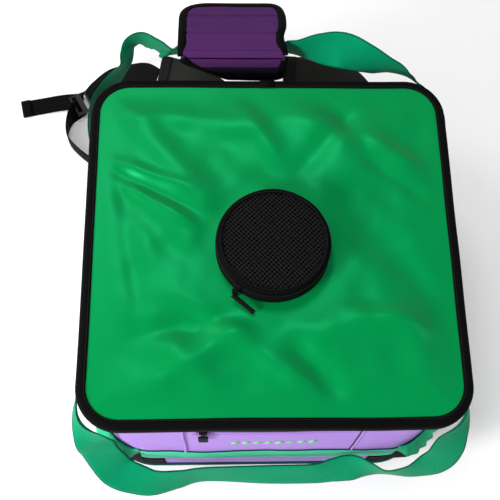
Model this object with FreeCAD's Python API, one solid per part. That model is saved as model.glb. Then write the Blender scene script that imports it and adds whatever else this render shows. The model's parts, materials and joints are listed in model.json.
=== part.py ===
import FreeCAD, Part
import math
import os

# Soft, square bowling ball bag, in millimetres.
# Frame: origin at the centre of the base's underside, +Z up, +Y towards the back of the bag.

# ---- driving dimensions ----
LID_SIDE = 380.0
LID_CORNER = 42.0
LID_TOP = 246.0
LID_UNDER = 232.0
BINDING = 12.0
BINDING_PROUD = 0.6
LID_LINING = 1.0
LID_FOAM_TOP = 242.0

BODY_SIDE = 364.0
BODY_CORNER = 54.0
BODY_TOP = 224.0
SKIN = 2.0
FOAM = 10.0
LINING = 1.0
BASE_SKIN = 2.5
BOARD = 4.0
HALF = BODY_SIDE / 2

ZIP_TAPE = 1.5
ZIP_SPLIT = 228.6
ZIP_GAP = 0.4
ZIP_REAR_END = 120.0
HINGE_HALF = 118.0

BALL_RING_OUTER = 118.0
BALL_RING_INNER = 84.0
BALL_RING_HEIGHT = 38.0

POCKET_HALF = 84.0
POCKET_FLOOR = 28.0
POCKET_DEPTH = 6.0
POCKET_BACK = 0.8
SLOT_HALF = 76.0
SLOT_LOW = 194.0
SLOT_HIGH = 204.0
SLOT_GAP = 5.6

SIDE_POCKET_OUT = 10.0
SIDE_POCKET_SKIN = 1.5
SIDE_POCKET_LOW = 12.0
SIDE_POCKET_TOP = 104.0
SIDE_POCKET_HEM = 16.0
SIDE_POCKET_FRONT_END = 112.0
SIDE_POCKET_REAR_END = 128.0

PATCH = 1.0
PATCH_HALF = 116.0
PATCH_TOP = 46.0
BAND_LOW = 60.0
BAND_TOP = 100.0
BAND = 1.2

WEB = 40.0
WEB_THICK = 2.0
ANCHOR_Y = 108.0
ANCHOR_Z = 200.0
ANCHOR_DROP = 84.0

STRAP = 62.0
STRAP_THICK = 10.0
STRAP_WEB = 25.0
STRAP_WEB_THICK = 1.6

POUCH_Y = -9.0
POUCH_RADIUS = 57.0
POUCH_TOP_RADIUS = 54.0
POUCH_WALL = 2.0
POUCH_SPLIT = 264.0
POUCH_TOP = 271.0
POUCH_ZIP_ANGLE = 232.0

GRIP_LEFT = -95.0
GRIP_RIGHT = 19.0
GRIP_THICK = 4.0
GRIP_FLAP_TIP = -36.0

X = FreeCAD.Vector(1, 0, 0)
Y = FreeCAD.Vector(0, 1, 0)
Z = FreeCAD.Vector(0, 0, 1)
FAR = 600.0


def vec(p):
    return FreeCAD.Vector(*p)


def box(low, high):
    size = [h - l for l, h in zip(low, high)]
    return Part.makeBox(*size, vec(low))


def upright_edges(shape):
    return [e for e in shape.Edges if abs(e.Vertexes[0].Z - e.Vertexes[-1].Z) > 0.1]


def block(half, corner, low, high):
    """A square slab with rounded upright corners."""
    slab = box((-half, -half, low), (half, half, high))
    return slab.makeFillet(corner, upright_edges(slab))


def ring(half, corner, wall, low, high):
    inner = block(half - wall, corner - wall, low - 1, high + 1)
    return block(half, corner, low, high).cut(inner)


def wedge(turn):
    """The quarter of the plan that faces -Y, turned about Z."""
    corners = [vec((0, 0, -1)), vec((-FAR, -FAR, -1)), vec((FAR, -FAR, -1)), vec((0, 0, -1))]
    quarter = Part.Face(Part.makePolygon(corners)).extrude(Z * FAR)
    quarter.rotate(vec((0, 0, 0)), Z, turn)
    return quarter


def section(centre, along, across, width, thick):
    """A closed rectangle square to a strap's run."""
    across = across - along * across.dot(along)
    across.normalize()
    up = along.cross(across)
    a = across * (width / 2)
    b = up * (thick / 2)
    return Part.makePolygon([centre - a - b, centre + a - b, centre + a + b, centre - a + b, centre - a - b])


def ribbon(stations, width, thick):
    """A flat strap through stations, each a centre and the direction of its width."""
    centres = [vec(c) for c, _ in stations]
    last = len(centres) - 1
    sections = []
    for i, (_, across) in enumerate(stations):
        along = centres[min(i + 1, last)] - centres[max(i - 1, 0)]
        along.normalize()
        sections.append(section(centres[i], along, vec(across), width, thick))
    return Part.makeLoft(sections, True, True)


def mirrored(stations):
    return [((-c[0], c[1], c[2]), (-w[0], w[1], w[2])) for c, w in stations]


# ---- the bag's body ----
def base_panel():
    return block(HALF - SKIN, BODY_CORNER - SKIN, 0, BASE_SKIN)


def base_board():
    inset = SKIN + FOAM + 0.2
    return block(HALF - inset, BODY_CORNER - inset, BASE_SKIN, BASE_SKIN + BOARD)


def bottom_piping():
    return ring(HALF + 2, BODY_CORNER + 2, 2, 2.5, 7.5)


def wall_skins():
    skin = ring(HALF, BODY_CORNER, SKIN, BASE_SKIN, BODY_TOP)
    slot = box((-SLOT_HALF, -HALF - 1, SLOT_LOW), (SLOT_HALF, -HALF + SKIN + 1, SLOT_HIGH))
    return {
        "front_panel": skin.common(wedge(0)).cut(slot),
        "right_panel": skin.common(wedge(90)),
        "rear_panel": skin.common(wedge(180)),
        "left_panel": skin.common(wedge(270)),
    }


def pocket_recess(depth):
    low = (-POCKET_HALF, -HALF + SKIN, POCKET_FLOOR)
    return box(low, (POCKET_HALF, -HALF + SKIN + depth, SLOT_HIGH + 5))


def wall_foams():
    foam = ring(HALF - SKIN, BODY_CORNER - SKIN, FOAM, BASE_SKIN, BODY_TOP)
    return {
        "front_foam": foam.common(wedge(0)).cut(pocket_recess(POCKET_DEPTH + POCKET_BACK)),
        "right_foam": foam.common(wedge(90)),
        "rear_foam": foam.common(wedge(180)),
        "left_foam": foam.common(wedge(270)),
    }


def body_lining():
    inset = SKIN + FOAM
    floor = BASE_SKIN + BOARD
    wall = ring(HALF - inset, BODY_CORNER - inset, LINING, floor, BODY_TOP)
    return wall.fuse(block(HALF - inset, BODY_CORNER - inset, floor, floor + LINING)).removeSplitter()


def ball_ring():
    floor = BASE_SKIN + BOARD + LINING
    outer = Part.makeCylinder(BALL_RING_OUTER, BALL_RING_HEIGHT, vec((0, 0, floor)))
    inner = Part.makeCone(BALL_RING_INNER - 12, BALL_RING_INNER + 3, BALL_RING_HEIGHT + 2, vec((0, 0, floor - 1)))
    return outer.cut(inner)


def corner_patches():
    band = ring(HALF + PATCH, BODY_CORNER + PATCH, PATCH, 7.5, PATCH_TOP)
    patches = []
    for sx in (-1, 1):
        for sy in (-1, 1):
            corner = box((0, 0, 0), (FAR, FAR, FAR))
            corner.translate(vec((PATCH_HALF, PATCH_HALF, 0)))
            if sx < 0:
                corner = corner.mirror(vec((0, 0, 0)), X)
            if sy < 0:
                corner = corner.mirror(vec((0, 0, 0)), Y)
            patches.append(band.common(corner))
    return Part.makeCompound([s for p in patches for s in p.Solids])


def front_band():
    return box((-SIDE_POCKET_FRONT_END, -HALF - BAND, BAND_LOW), (SIDE_POCKET_FRONT_END, -HALF, BAND_TOP))


def zip_tape(low, high):
    tape = ring(HALF, BODY_CORNER, ZIP_TAPE, low, high)
    return tape.cut(box((-FAR, ZIP_REAR_END, 0), (FAR, FAR, FAR)))


def hinge_strip():
    return box((-HINGE_HALF, HALF - ZIP_TAPE, BODY_TOP), (HINGE_HALF, HALF, LID_UNDER - ZIP_GAP))


# ---- pockets ----
def pocket_back():
    y = -HALF + SKIN + POCKET_DEPTH
    return box((-POCKET_HALF, y, POCKET_FLOOR), (POCKET_HALF, y + POCKET_BACK, SLOT_HIGH + 5))


def pocket_zip_tapes():
    y = -HALF + SKIN
    middle = (SLOT_LOW + SLOT_HIGH) / 2
    lower = box((-SLOT_HALF, y, SLOT_LOW - 5), (SLOT_HALF, y + 1, middle - SLOT_GAP / 2))
    upper = box((-SLOT_HALF, y, middle + SLOT_GAP / 2), (SLOT_HALF, y + 1, SLOT_HIGH + 4))
    return Part.makeCompound([lower, upper])


def side_pocket_space(inset, low, high):
    """The space between the left wall and a pocket's skin, less an inset."""
    out = HALF + SIDE_POCKET_OUT - inset
    space = block(out, BODY_CORNER + SIDE_POCKET_OUT - inset, low, high)
    space = space.cut(block(HALF + PATCH + 0.2, BODY_CORNER + PATCH + 0.2, low - 1, high + 1))
    front = -SIDE_POCKET_FRONT_END - inset
    return space.common(box((-FAR, -FAR, low), (front, SIDE_POCKET_REAR_END - inset, high)))


def side_pocket():
    hem_low = SIDE_POCKET_TOP - SIDE_POCKET_HEM
    outside = side_pocket_space(0, SIDE_POCKET_LOW, hem_low)
    inside = side_pocket_space(SIDE_POCKET_SKIN, SIDE_POCKET_LOW + SIDE_POCKET_SKIN, hem_low + 1)
    return outside.cut(inside)


def side_pocket_hem():
    hem_low = SIDE_POCKET_TOP - SIDE_POCKET_HEM
    outside = side_pocket_space(0, hem_low, SIDE_POCKET_TOP)
    inside = side_pocket_space(2 * SIDE_POCKET_SKIN, hem_low - 1, SIDE_POCKET_TOP + 1)
    return outside.cut(inside)


# ---- the lid ----
def lid_panel():
    return block(LID_SIDE / 2 - BINDING, LID_CORNER - BINDING, LID_FOAM_TOP, LID_TOP)


def lid_foam():
    low = LID_UNDER + LID_LINING
    return block(LID_SIDE / 2 - BINDING, LID_CORNER - BINDING, low, LID_FOAM_TOP)


def lid_lining():
    return block(LID_SIDE / 2 - BINDING, LID_CORNER - BINDING, LID_UNDER, LID_UNDER + LID_LINING)


def lid_binding():
    return ring(LID_SIDE / 2, LID_CORNER, BINDING, LID_UNDER, LID_TOP + BINDING_PROUD)


# ---- the round pouch on the lid ----
def disc(radius, low, high):
    return Part.makeCylinder(radius, high - low, vec((0, POUCH_Y, low)))


def pouch_base():
    return disc(POUCH_RADIUS, LID_TOP, LID_TOP + 1.5)


def pouch_wall():
    low = LID_TOP + 1.5
    high = POUCH_SPLIT - 3.2
    return disc(POUCH_RADIUS, low, high).cut(disc(POUCH_RADIUS - POUCH_WALL, low - 1, high + 1))


def pouch_lower_zip():
    low = POUCH_SPLIT - 3.2
    high = POUCH_SPLIT - 0.2
    return disc(POUCH_RADIUS - 0.4, low, high).cut(disc(POUCH_RADIUS - POUCH_WALL, low - 1, high + 1))


def pouch_upper_zip():
    high = POUCH_SPLIT + 2.8
    return disc(POUCH_RADIUS - 0.4, POUCH_SPLIT, high).cut(disc(POUCH_TOP_RADIUS, POUCH_SPLIT - 1, high + 1))


def pouch_binding():
    low = POUCH_SPLIT + 2.8
    return disc(POUCH_RADIUS - 1, low, POUCH_TOP - 0.4).cut(disc(POUCH_TOP_RADIUS - 3, low - 1, POUCH_TOP))


def pouch_mesh():
    return disc(POUCH_TOP_RADIUS - 3, POUCH_TOP - 4, POUCH_TOP)


# ---- zip sliders and their pulls ----
def slider(length, width, depth):
    """A slider whose run is X and whose face is -Y, centred on the teeth."""
    body = box((-length / 2, -depth / 2, -width / 2), (length / 2, depth / 2, width / 2))
    bridge = box((-length / 2 + 2, -depth / 2 - 2.4, -1.2), (length / 2 - 2, -depth / 2, 1.2))
    eye = box((-length / 2 + 3.2, -depth / 2 - 1.4, -1.3), (length / 2 - 3.2, -depth / 2, 1.3))
    return body.fuse(bridge.cut(eye)).removeSplitter()


def pull(width, length):
    """A flat tab that hangs from a slider's bridge, with its face along -Y."""
    tab = box((-width / 2, -2.0, -length), (width / 2, 0, -1.8))
    tab = tab.makeFillet(width * 0.3, [e for e in tab.Edges if abs(e.Vertexes[0].Y - e.Vertexes[-1].Y) > 0.1])
    window = box((-width / 4, -3, -7.5), (width / 4, 1, -4.5))
    return tab.cut(window)


def placed(shape, turn, at):
    shape = shape.copy()
    shape.rotate(vec((0, 0, 0)), Z, turn)
    shape.translate(vec(at))
    return shape


def on_right_side(shape, y):
    return placed(shape, 90, (HALF + 2.2, y, ZIP_SPLIT))


def on_pouch(shape, out, height):
    angle = math.radians(POUCH_ZIP_ANGLE)
    at = (out * math.cos(angle), POUCH_Y + out * math.sin(angle), height)
    return placed(shape, POUCH_ZIP_ANGLE + 90, at)


# ---- carrying handles ----
def handle_anchor(sx, sy):
    low = (HALF, sy * ANCHOR_Y - WEB / 2, ANCHOR_Z - ANCHOR_DROP)
    patch = box(low, (HALF + WEB_THICK, sy * ANCHOR_Y + WEB / 2, ANCHOR_Z - 3))
    return patch if sx > 0 else patch.mirror(vec((0, 0, 0)), X)


FRONT_HANDLE_LEFT = [
    ((-189.5, -108, 200), (0.0, -0.4, -0.9)),
    ((-195, -136, 194), (-0.1, 0.2, -0.95)),
    ((-197, -160, 178), (-0.2, 0.4, -0.85)),
    ((-193, -176, 150), (-0.4, 0.2, -0.85)),
    ((-185, -183, 124), (-0.5, -0.15, -0.85)),
    ((-174, -192, 104), (-0.6, -0.5, -0.6)),
    ((-162, -203, 88), (-0.55, -0.6, -0.5)),
    ((-146, -209, 82), (-0.4, -0.65, -0.65)),
    ((-126, -213, 76), (-0.2, -0.55, -0.8)),
    ((-98, -209, 74), (-0.1, -0.35, -0.93)),
    ((-69, -204, 74), (0.0, -0.33, -0.94)),
    ((0, -204, 75), (0.0, -0.35, -0.94)),
]
FRONT_HANDLE_RIGHT = [
    ((50, -204, 77), (0.0, -0.35, -0.94)),
    ((72, -201, 81), (-0.15, -0.45, -0.88)),
    ((91, -199, 85), (0.0, -0.5, -0.86)),
    ((110, -202, 87), (0.1, -0.2, -0.96)),
    ((127, -206, 89), (0.2, 0.05, -0.97)),
    ((143, -207, 93), (0.22, 0.0, -0.97)),
    ((160, -206, 98), (0.28, -0.12, -0.95)),
    ((178, -201, 109), (0.38, -0.3, -0.87)),
    ((191, -192, 128), (0.45, -0.3, -0.85)),
    ((195, -180, 152), (0.5, 0.15, -0.75)),
    ((197, -162, 180), (0.3, 0.4, -0.8)),
    ((195, -136, 195), (0.1, 0.2, -0.95)),
    ((189.5, -108, 200), (0.0, -0.4, -0.9)),
]
REAR_HANDLE = [
    ((-187, 108, 200), (0.0, 0.1, 0.99)),
    ((-194, 132, 200), (0.0, 0.0, 1.0)),
    ((-197, 158, 199), (0.0, -0.05, 1.0)),
    ((-193, 184, 199), (-0.05, -0.1, 0.99)),
    ((-180, 205, 203), (-0.15, -0.2, 0.97)),
    ((-168, 219, 212), (-0.1, -0.3, 0.95)),
    ((-158, 226, 226), (-0.12, -0.5, 0.86)),
    ((-153, 232, 240), (-0.05, -0.35, 0.94)),
    ((-146, 236, 249), (-0.02, -0.25, 0.97)),
    ((-135, 237, 252), (0.0, -0.2, 0.98)),
    ((-122, 233, 248), (0.02, -0.25, 0.97)),
    ((-110, 231, 240), (0.05, -0.4, 0.92)),
    ((-97, 235, 236), (0.0, -0.38, 0.92)),
    ((-40, 237, 235), (0.0, -0.35, 0.94)),
    ((16, 238, 236), (-0.05, -0.38, 0.92)),
    ((39, 230, 245), (-0.1, -0.1, 0.98)),
    ((61, 225, 253), (0.0, 0.4, 0.91)),
    ((82, 221, 257), (0.2, 0.65, 0.72)),
    ((104, 216, 251), (0.1, 0.3, 0.95)),
    ((127, 214, 238), (-0.08, -0.1, 0.99)),
    ((149, 217, 221), (-0.2, -0.4, 0.88)),
    ((167, 216, 210), (-0.3, -0.5, 0.8)),
    ((182, 205, 205), (-0.3, -0.35, 0.88)),
    ((193, 186, 201), (-0.1, -0.2, 0.97)),
    ((197, 160, 200), (0.0, -0.1, 0.99)),
    ((194, 134, 200), (0.0, 0.0, 1.0)),
    ((187, 108, 200), (0.0, 0.1, 0.99)),
]


# ---- the wrap that buttons round both handles ----
def grip_strip(outline):
    """A padded strip as wide as the grip, from its outline in Y and Z."""
    points = [vec((GRIP_LEFT, y, z)) for y, z in outline]
    face = Part.Face(Part.makePolygon(points + points[:1]))
    return face.extrude(X * (GRIP_RIGHT - GRIP_LEFT))


def grip_base():
    return grip_strip([(212, 256), (244, 256), (244, 256 + GRIP_THICK), (212, 256 + GRIP_THICK)])


def grip_rear_flap():
    return grip_strip([(245, 255.5), (297, 232), (298.6, 235.6), (246, 259.5)])


def grip_front_flap():
    """The flap that hangs in front, cut back on its left so that it clears the left strap."""
    flap = grip_strip([(207.5, 256), (211.5, 256), (216, 212), (212, 212)])
    corner = Part.makePolygon([vec(p) for p in (
        (GRIP_LEFT - 1, 190, 252), (GRIP_LEFT + 10, 190, 252), (GRIP_FLAP_TIP, 190, 211), (GRIP_LEFT - 1, 190, 211),
        (GRIP_LEFT - 1, 190, 252))])
    return flap.cut(Part.Face(corner).extrude(Y * 40))


# ---- shoulder straps ----
LEFT_STRAP = [
    ((-44, 191, 198), (1.0, 0.0, 0.0)),
    ((-46, 198, 150), (1.0, 0.0, 0.0)),
    ((-53, 217, 106), (0.95, 0.3, 0.05)),
    ((-70, 252, 96), (0.6, 0.75, 0.3)),
    ((-98, 281, 88), (0.25, 0.83, 0.5)),
    ((-131, 295, 85), (0.0, 0.84, 0.54)),
]
RIGHT_STRAP = [
    ((84, 191, 198), (1.0, 0.0, 0.0)),
    ((88, 199, 150), (1.0, 0.0, 0.0)),
    ((104, 219, 104), (0.9, 0.4, 0.0)),
    ((122, 250, 84), (0.7, 0.7, 0.1)),
    ((110, 281, 82), (-0.3, 0.84, 0.45)),
    ((76, 292, 84), (-0.1, 0.85, 0.52)),
    ((38, 294, 85), (0.0, 0.84, 0.54)),
]
LEFT_WEB = [
    ((-140, 306, 82), (0.0, 0.84, 0.54)),
    ((-168, 315, 66), (0.0, 0.86, 0.5)),
    ((-196, 323, 43), (-0.2, 0.88, 0.42)),
    ((-218, 320, 21), (-0.4, 0.88, 0.25)),
    ((-232, 311, 10), (-0.5, 0.86, 0.0)),
]
LEFT_LOOP = [
    ((-243, 298, 9), (-0.55, 0.8, 0.25)),
    ((-253, 283, 12), (-0.2, 0.3, 0.93)),
    ((-258, 264, 13), (0.0, 0.0, 1.0)),
    ((-255, 246, 13), (0.0, 0.0, 1.0)),
    ((-243, 230, 13), (0.0, 0.0, 1.0)),
    ((-222, 212, 13), (0.0, 0.0, 1.0)),
    ((-196, 193, 17), (0.0, 0.0, 1.0)),
    ((-171, 171, 20), (0.0, 0.0, 1.0)),
]
LEFT_TAIL = [
    ((-240, 311, 3.4), (0.2, 0.98, 0.0)),
    ((-268, 309, 2.4), (0.16, 0.99, 0.0)),
    ((-296, 304, 1.2), (0.18, 0.98, 0.0)),
    ((-323, 298, 1.2), (0.2, 0.98, 0.0)),
]
RIGHT_WEB = [
    ((52, 290, 70), (0.0, 0.84, 0.54)),
    ((38, 284, 54), (0.1, 0.9, 0.4)),
    ((42, 276, 30), (0.2, 0.95, -0.1)),
    ((64, 268, 14), (0.1, 0.99, -0.1)),
    ((98, 256, 9), (0.2, 0.9, 0.3)),
    ((134, 236, 13), (0.0, 0.2, 0.98)),
    ((164, 206, 15), (0.0, 0.0, 1.0)),
    ((171, 171, 20), (0.0, 0.0, 1.0)),
]


def strap_yoke():
    return box((-100, HALF, 168), (130, HALF + 2.2, 214))


def lower_anchor():
    """A tab at the rear left corner of the base, on the corner's diagonal."""
    tab = box((-STRAP_WEB / 2, 1.2, 8.0), (STRAP_WEB / 2, 5.2, 33.0))
    tab.rotate(vec((0, 0, 0)), Z, 45)
    out = (HALF - BODY_CORNER) + BODY_CORNER / math.sqrt(2)
    tab.translate(vec((-out, out, 0)))
    return tab


def ladder_lock():
    frame = box((-15, -12, -3), (15, 12, 3))
    for y in (-6.5, 6.5):
        frame = frame.cut(box((-13, y - 3, -4), (13, y + 3, 4)))
    frame.rotate(vec((0, 0, 0)), Z, 118)
    frame.translate(vec((-241, 303, 10)))
    return frame


def export_all():
    os.makedirs("parts", exist_ok=True)
    nodes = {
        "base_panel": base_panel(),
        "base_board": base_board(),
        "bottom_piping": bottom_piping(),
        "body_lining": body_lining(),
        "ball_ring": ball_ring(),
        "corner_patches": corner_patches(),
        "front_band": front_band(),
        "lower_zip_tape": zip_tape(BODY_TOP, ZIP_SPLIT - ZIP_GAP / 2),
        "hinge_strip": hinge_strip(),
        "pocket_back": pocket_back(),
        "pocket_zip_tapes": pocket_zip_tapes(),
        "left_side_pocket": side_pocket(),
        "right_side_pocket": side_pocket().mirror(vec((0, 0, 0)), X),
        "left_pocket_hem": side_pocket_hem(),
        "right_pocket_hem": side_pocket_hem().mirror(vec((0, 0, 0)), X),
        "upper_zip_tape": zip_tape(ZIP_SPLIT + ZIP_GAP / 2, LID_UNDER),
        "lid_panel": lid_panel(),
        "lid_foam": lid_foam(),
        "lid_lining": lid_lining(),
        "lid_binding": lid_binding(),
        "pouch_base": pouch_base(),
        "pouch_wall": pouch_wall(),
        "pouch_lower_zip": pouch_lower_zip(),
        "pouch_upper_zip": pouch_upper_zip(),
        "pouch_binding": pouch_binding(),
        "pouch_mesh": pouch_mesh(),
        "main_slider_front": on_right_side(slider(9, 6, 3.4), -8),
        "main_pull_front": on_right_side(pull(9, 26), -8).translated(vec((3.2, 0, 0))),
        "main_slider_rear": on_right_side(slider(9, 6, 3.4), 8),
        "main_pull_rear": on_right_side(pull(9, 26), 8).translated(vec((3.2, 0, 0))),
        "pocket_slider": placed(slider(8, 9, 3.4), 0, (-70, -HALF - 2, 199)),
        "pocket_pull": placed(pull(10, 25), 0, (-70, -HALF - 5.2, 199)),
        "pouch_slider": on_pouch(slider(8, 6, 3), POUCH_RADIUS + 1.4, POUCH_SPLIT),
        "pouch_pull": on_pouch(pull(6, 16), POUCH_RADIUS + 4.6, POUCH_SPLIT),
        "front_left_anchor": handle_anchor(-1, -1),
        "front_right_anchor": handle_anchor(1, -1),
        "rear_left_anchor": handle_anchor(-1, 1),
        "rear_right_anchor": handle_anchor(1, 1),
        "front_handle": ribbon(FRONT_HANDLE_LEFT + FRONT_HANDLE_RIGHT, WEB, WEB_THICK),
        "rear_handle": ribbon(REAR_HANDLE, WEB, WEB_THICK),
        "grip_base": grip_base(),
        "grip_rear_flap": grip_rear_flap(),
        "grip_front_flap": grip_front_flap(),
        "strap_yoke": strap_yoke(),
        "left_strap": ribbon(LEFT_STRAP, STRAP, STRAP_THICK),
        "right_strap": ribbon(RIGHT_STRAP, STRAP, STRAP_THICK),
        "left_strap_web": ribbon(LEFT_WEB, STRAP_WEB, STRAP_WEB_THICK),
        "left_strap_tail": Part.makeCompound([
            ribbon(LEFT_LOOP, STRAP_WEB, STRAP_WEB_THICK),
            ribbon(LEFT_TAIL, STRAP_WEB, STRAP_WEB_THICK),
        ]),
        "right_strap_web": ribbon(RIGHT_WEB, STRAP_WEB, STRAP_WEB_THICK),
        "left_ladder_lock": ladder_lock(),
        "left_lower_anchor": lower_anchor(),
        "right_lower_anchor": lower_anchor().mirror(vec((0, 0, 0)), X),
    }
    nodes.update(wall_skins())
    nodes.update(wall_foams())
    for name, shape in nodes.items():
        shape.exportStep(os.path.join("parts", name + ".step"))
        print(name, "valid" if shape.isValid() else "INVALID", len(shape.Solids), round(shape.Volume))


export_all()
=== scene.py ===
import json
import math

import bmesh
import bpy
from mathutils import Matrix, Vector, noise


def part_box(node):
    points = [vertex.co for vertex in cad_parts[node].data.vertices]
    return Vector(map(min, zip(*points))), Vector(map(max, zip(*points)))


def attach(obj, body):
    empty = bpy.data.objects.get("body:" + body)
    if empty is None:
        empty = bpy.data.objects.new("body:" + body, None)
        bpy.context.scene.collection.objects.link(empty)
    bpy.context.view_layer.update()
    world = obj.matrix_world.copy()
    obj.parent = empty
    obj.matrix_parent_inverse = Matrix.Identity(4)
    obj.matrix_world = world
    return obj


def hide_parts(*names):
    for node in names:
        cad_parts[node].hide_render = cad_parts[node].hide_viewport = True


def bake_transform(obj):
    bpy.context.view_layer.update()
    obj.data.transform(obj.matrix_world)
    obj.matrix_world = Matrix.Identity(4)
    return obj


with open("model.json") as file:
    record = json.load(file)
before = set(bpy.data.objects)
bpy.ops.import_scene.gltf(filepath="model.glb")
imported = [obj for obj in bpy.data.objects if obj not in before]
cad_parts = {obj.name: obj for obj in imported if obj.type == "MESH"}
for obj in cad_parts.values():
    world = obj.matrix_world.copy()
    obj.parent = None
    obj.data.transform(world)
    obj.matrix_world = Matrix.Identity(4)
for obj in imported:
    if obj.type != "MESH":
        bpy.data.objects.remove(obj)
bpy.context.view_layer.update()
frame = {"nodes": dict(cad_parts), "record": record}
MM = 0.001

# ---- sizes read from the frame ----
LID_LOW, LID_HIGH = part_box("lid_binding")
WALL_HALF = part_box("right_panel")[1].x
WALL_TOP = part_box("right_panel")[1].z
LID_HALF = LID_HIGH.x
LID_CORNER = 42 * MM
WALL_CORNER = 54 * MM
BINDING = 10 * MM
TAU = 2 * math.pi


# ---- materials ----
def shader(name, color, rough=0.7, metal=0.0, sheen=0.0, gloss=0.2, shine=(1, 1, 1)):
    """A new material, its node helpers and its Principled node."""
    m = bpy.data.materials.new(name)
    m.use_nodes = True
    p = m.node_tree.nodes["Principled BSDF"]
    p.inputs["Base Color"].default_value = (*color, 1)
    p.inputs["Roughness"].default_value = rough
    p.inputs["Metallic"].default_value = metal
    p.inputs["Sheen Weight"].default_value = sheen
    p.inputs["Specular IOR Level"].default_value = gloss
    p.inputs["Specular Tint"].default_value = (*shine, 1)
    return m, p


def add(m, kind, **inputs):
    n = m.node_tree.nodes.new(kind)
    for key, value in inputs.items():
        if key in n.inputs:
            n.inputs[key].default_value = value
        else:
            setattr(n, key, value)
    return n


def link(m, a, b):
    m.node_tree.links.new(a, b)


def math_node(m, operation, a, b=0.0):
    n = add(m, "ShaderNodeMath", operation=operation)
    for socket, value in zip(n.inputs, (a, b)):
        if isinstance(value, (int, float)):
            socket.default_value = value
        else:
            link(m, value, socket)
    return n.outputs[0]


def threads(m, coords, pitch, axis):
    """A wave from 0 to 1 that repeats every pitch metres along one axis of the coordinates."""
    split = add(m, "ShaderNodeSeparateXYZ")
    link(m, coords, split.inputs[0])
    turn = math_node(m, "MULTIPLY", split.outputs[axis], TAU / pitch)
    return math_node(m, "MULTIPLY_ADD", math_node(m, "SINE", turn), 0.5)


def tint(m, p, factor, low, high):
    mix = add(m, "ShaderNodeMix", data_type="RGBA")
    link(m, factor, mix.inputs[0])
    mix.inputs[6].default_value = (*low, 1)
    mix.inputs[7].default_value = (*high, 1)
    link(m, mix.outputs[2], p.inputs["Base Color"])
    return mix


def noise_node(m, coords, scale, detail=3.0):
    n = add(m, "ShaderNodeTexNoise", Scale=scale, Detail=detail)
    link(m, coords, n.inputs["Vector"])
    return n.outputs["Fac"]


def relief(m, p, height, distance):
    b = add(m, "ShaderNodeBump", Distance=distance, Strength=1.0)
    link(m, height, b.inputs["Height"])
    link(m, b.outputs["Normal"], p.inputs["Normal"])


def woven(name, color, pitch=0.9 * MM, rough=0.75, depth=0.12 * MM, vary=0.18, coords="UV", sheen=0.0,
          twill=False, gloss=0.12, shine=(1, 1, 1), edge=0.0):
    """Cloth: crossing threads, a soft change of shade over a few centimetres, and a fine grain."""
    m, p = shader(name, color, rough, sheen=sheen, gloss=gloss, shine=shine)
    where = add(m, "ShaderNodeTexCoord").outputs[coords]
    warp = threads(m, where, pitch, 0)
    weft = threads(m, where, pitch, 1)
    if twill:
        slant = add(m, "ShaderNodeVectorMath", operation="DOT_PRODUCT")
        link(m, where, slant.inputs[0])
        slant.inputs[1].default_value = (TAU / (3 * pitch), TAU / (2.2 * pitch), 0)
        weft = math_node(m, "MULTIPLY_ADD", math_node(m, "SINE", slant.outputs["Value"]), 0.5)
    cloth = math_node(m, "MULTIPLY", warp, weft)
    shade = noise_node(m, where, 18.0)
    grain = noise_node(m, where, 900.0, 2.0)
    mixed = math_node(m, "ADD", math_node(m, "MULTIPLY", shade, 0.7), math_node(m, "MULTIPLY", cloth, 0.3))
    dark = tuple(c * (1 - vary) for c in color)
    light = tuple(min(1, c * (1 + vary)) for c in color)
    mix = tint(m, p, mixed, dark, light)
    if edge:
        darken_edges(m, p, where, mix, edge, color)
    relief(m, p, math_node(m, "ADD", cloth, math_node(m, "MULTIPLY", grain, 0.3)), depth)
    return m


def darken_edges(m, p, where, mix, width, color):
    """A darker selvedge on both long edges of a webbing of the given width."""
    split = add(m, "ShaderNodeSeparateXYZ")
    link(m, where, split.inputs[0])
    off = math_node(m, "ABSOLUTE", math_node(m, "SUBTRACT", split.outputs[0], width / 2))
    near = math_node(m, "GREATER_THAN", off, width / 2 - 1.3 * MM)
    over = add(m, "ShaderNodeMix", data_type="RGBA")
    link(m, near, over.inputs[0])
    link(m, mix.outputs[2], over.inputs[6])
    over.inputs[7].default_value = (*(c * 0.4 for c in color), 1)
    link(m, over.outputs[2], p.inputs["Base Color"])


def plain(name, color, rough=0.5, metal=0.0, grain=400.0, depth=0.03 * MM, gloss=0.2):
    """Moulded plastic, foam or painted metal with a fine grain."""
    m, p = shader(name, color, rough, metal, gloss=gloss)
    where = add(m, "ShaderNodeTexCoord").outputs["Object"]
    n = noise_node(m, where, grain)
    tint(m, p, n, tuple(c * 0.88 for c in color), tuple(min(1, c * 1.1) for c in color))
    relief(m, p, n, depth)
    return m


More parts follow.
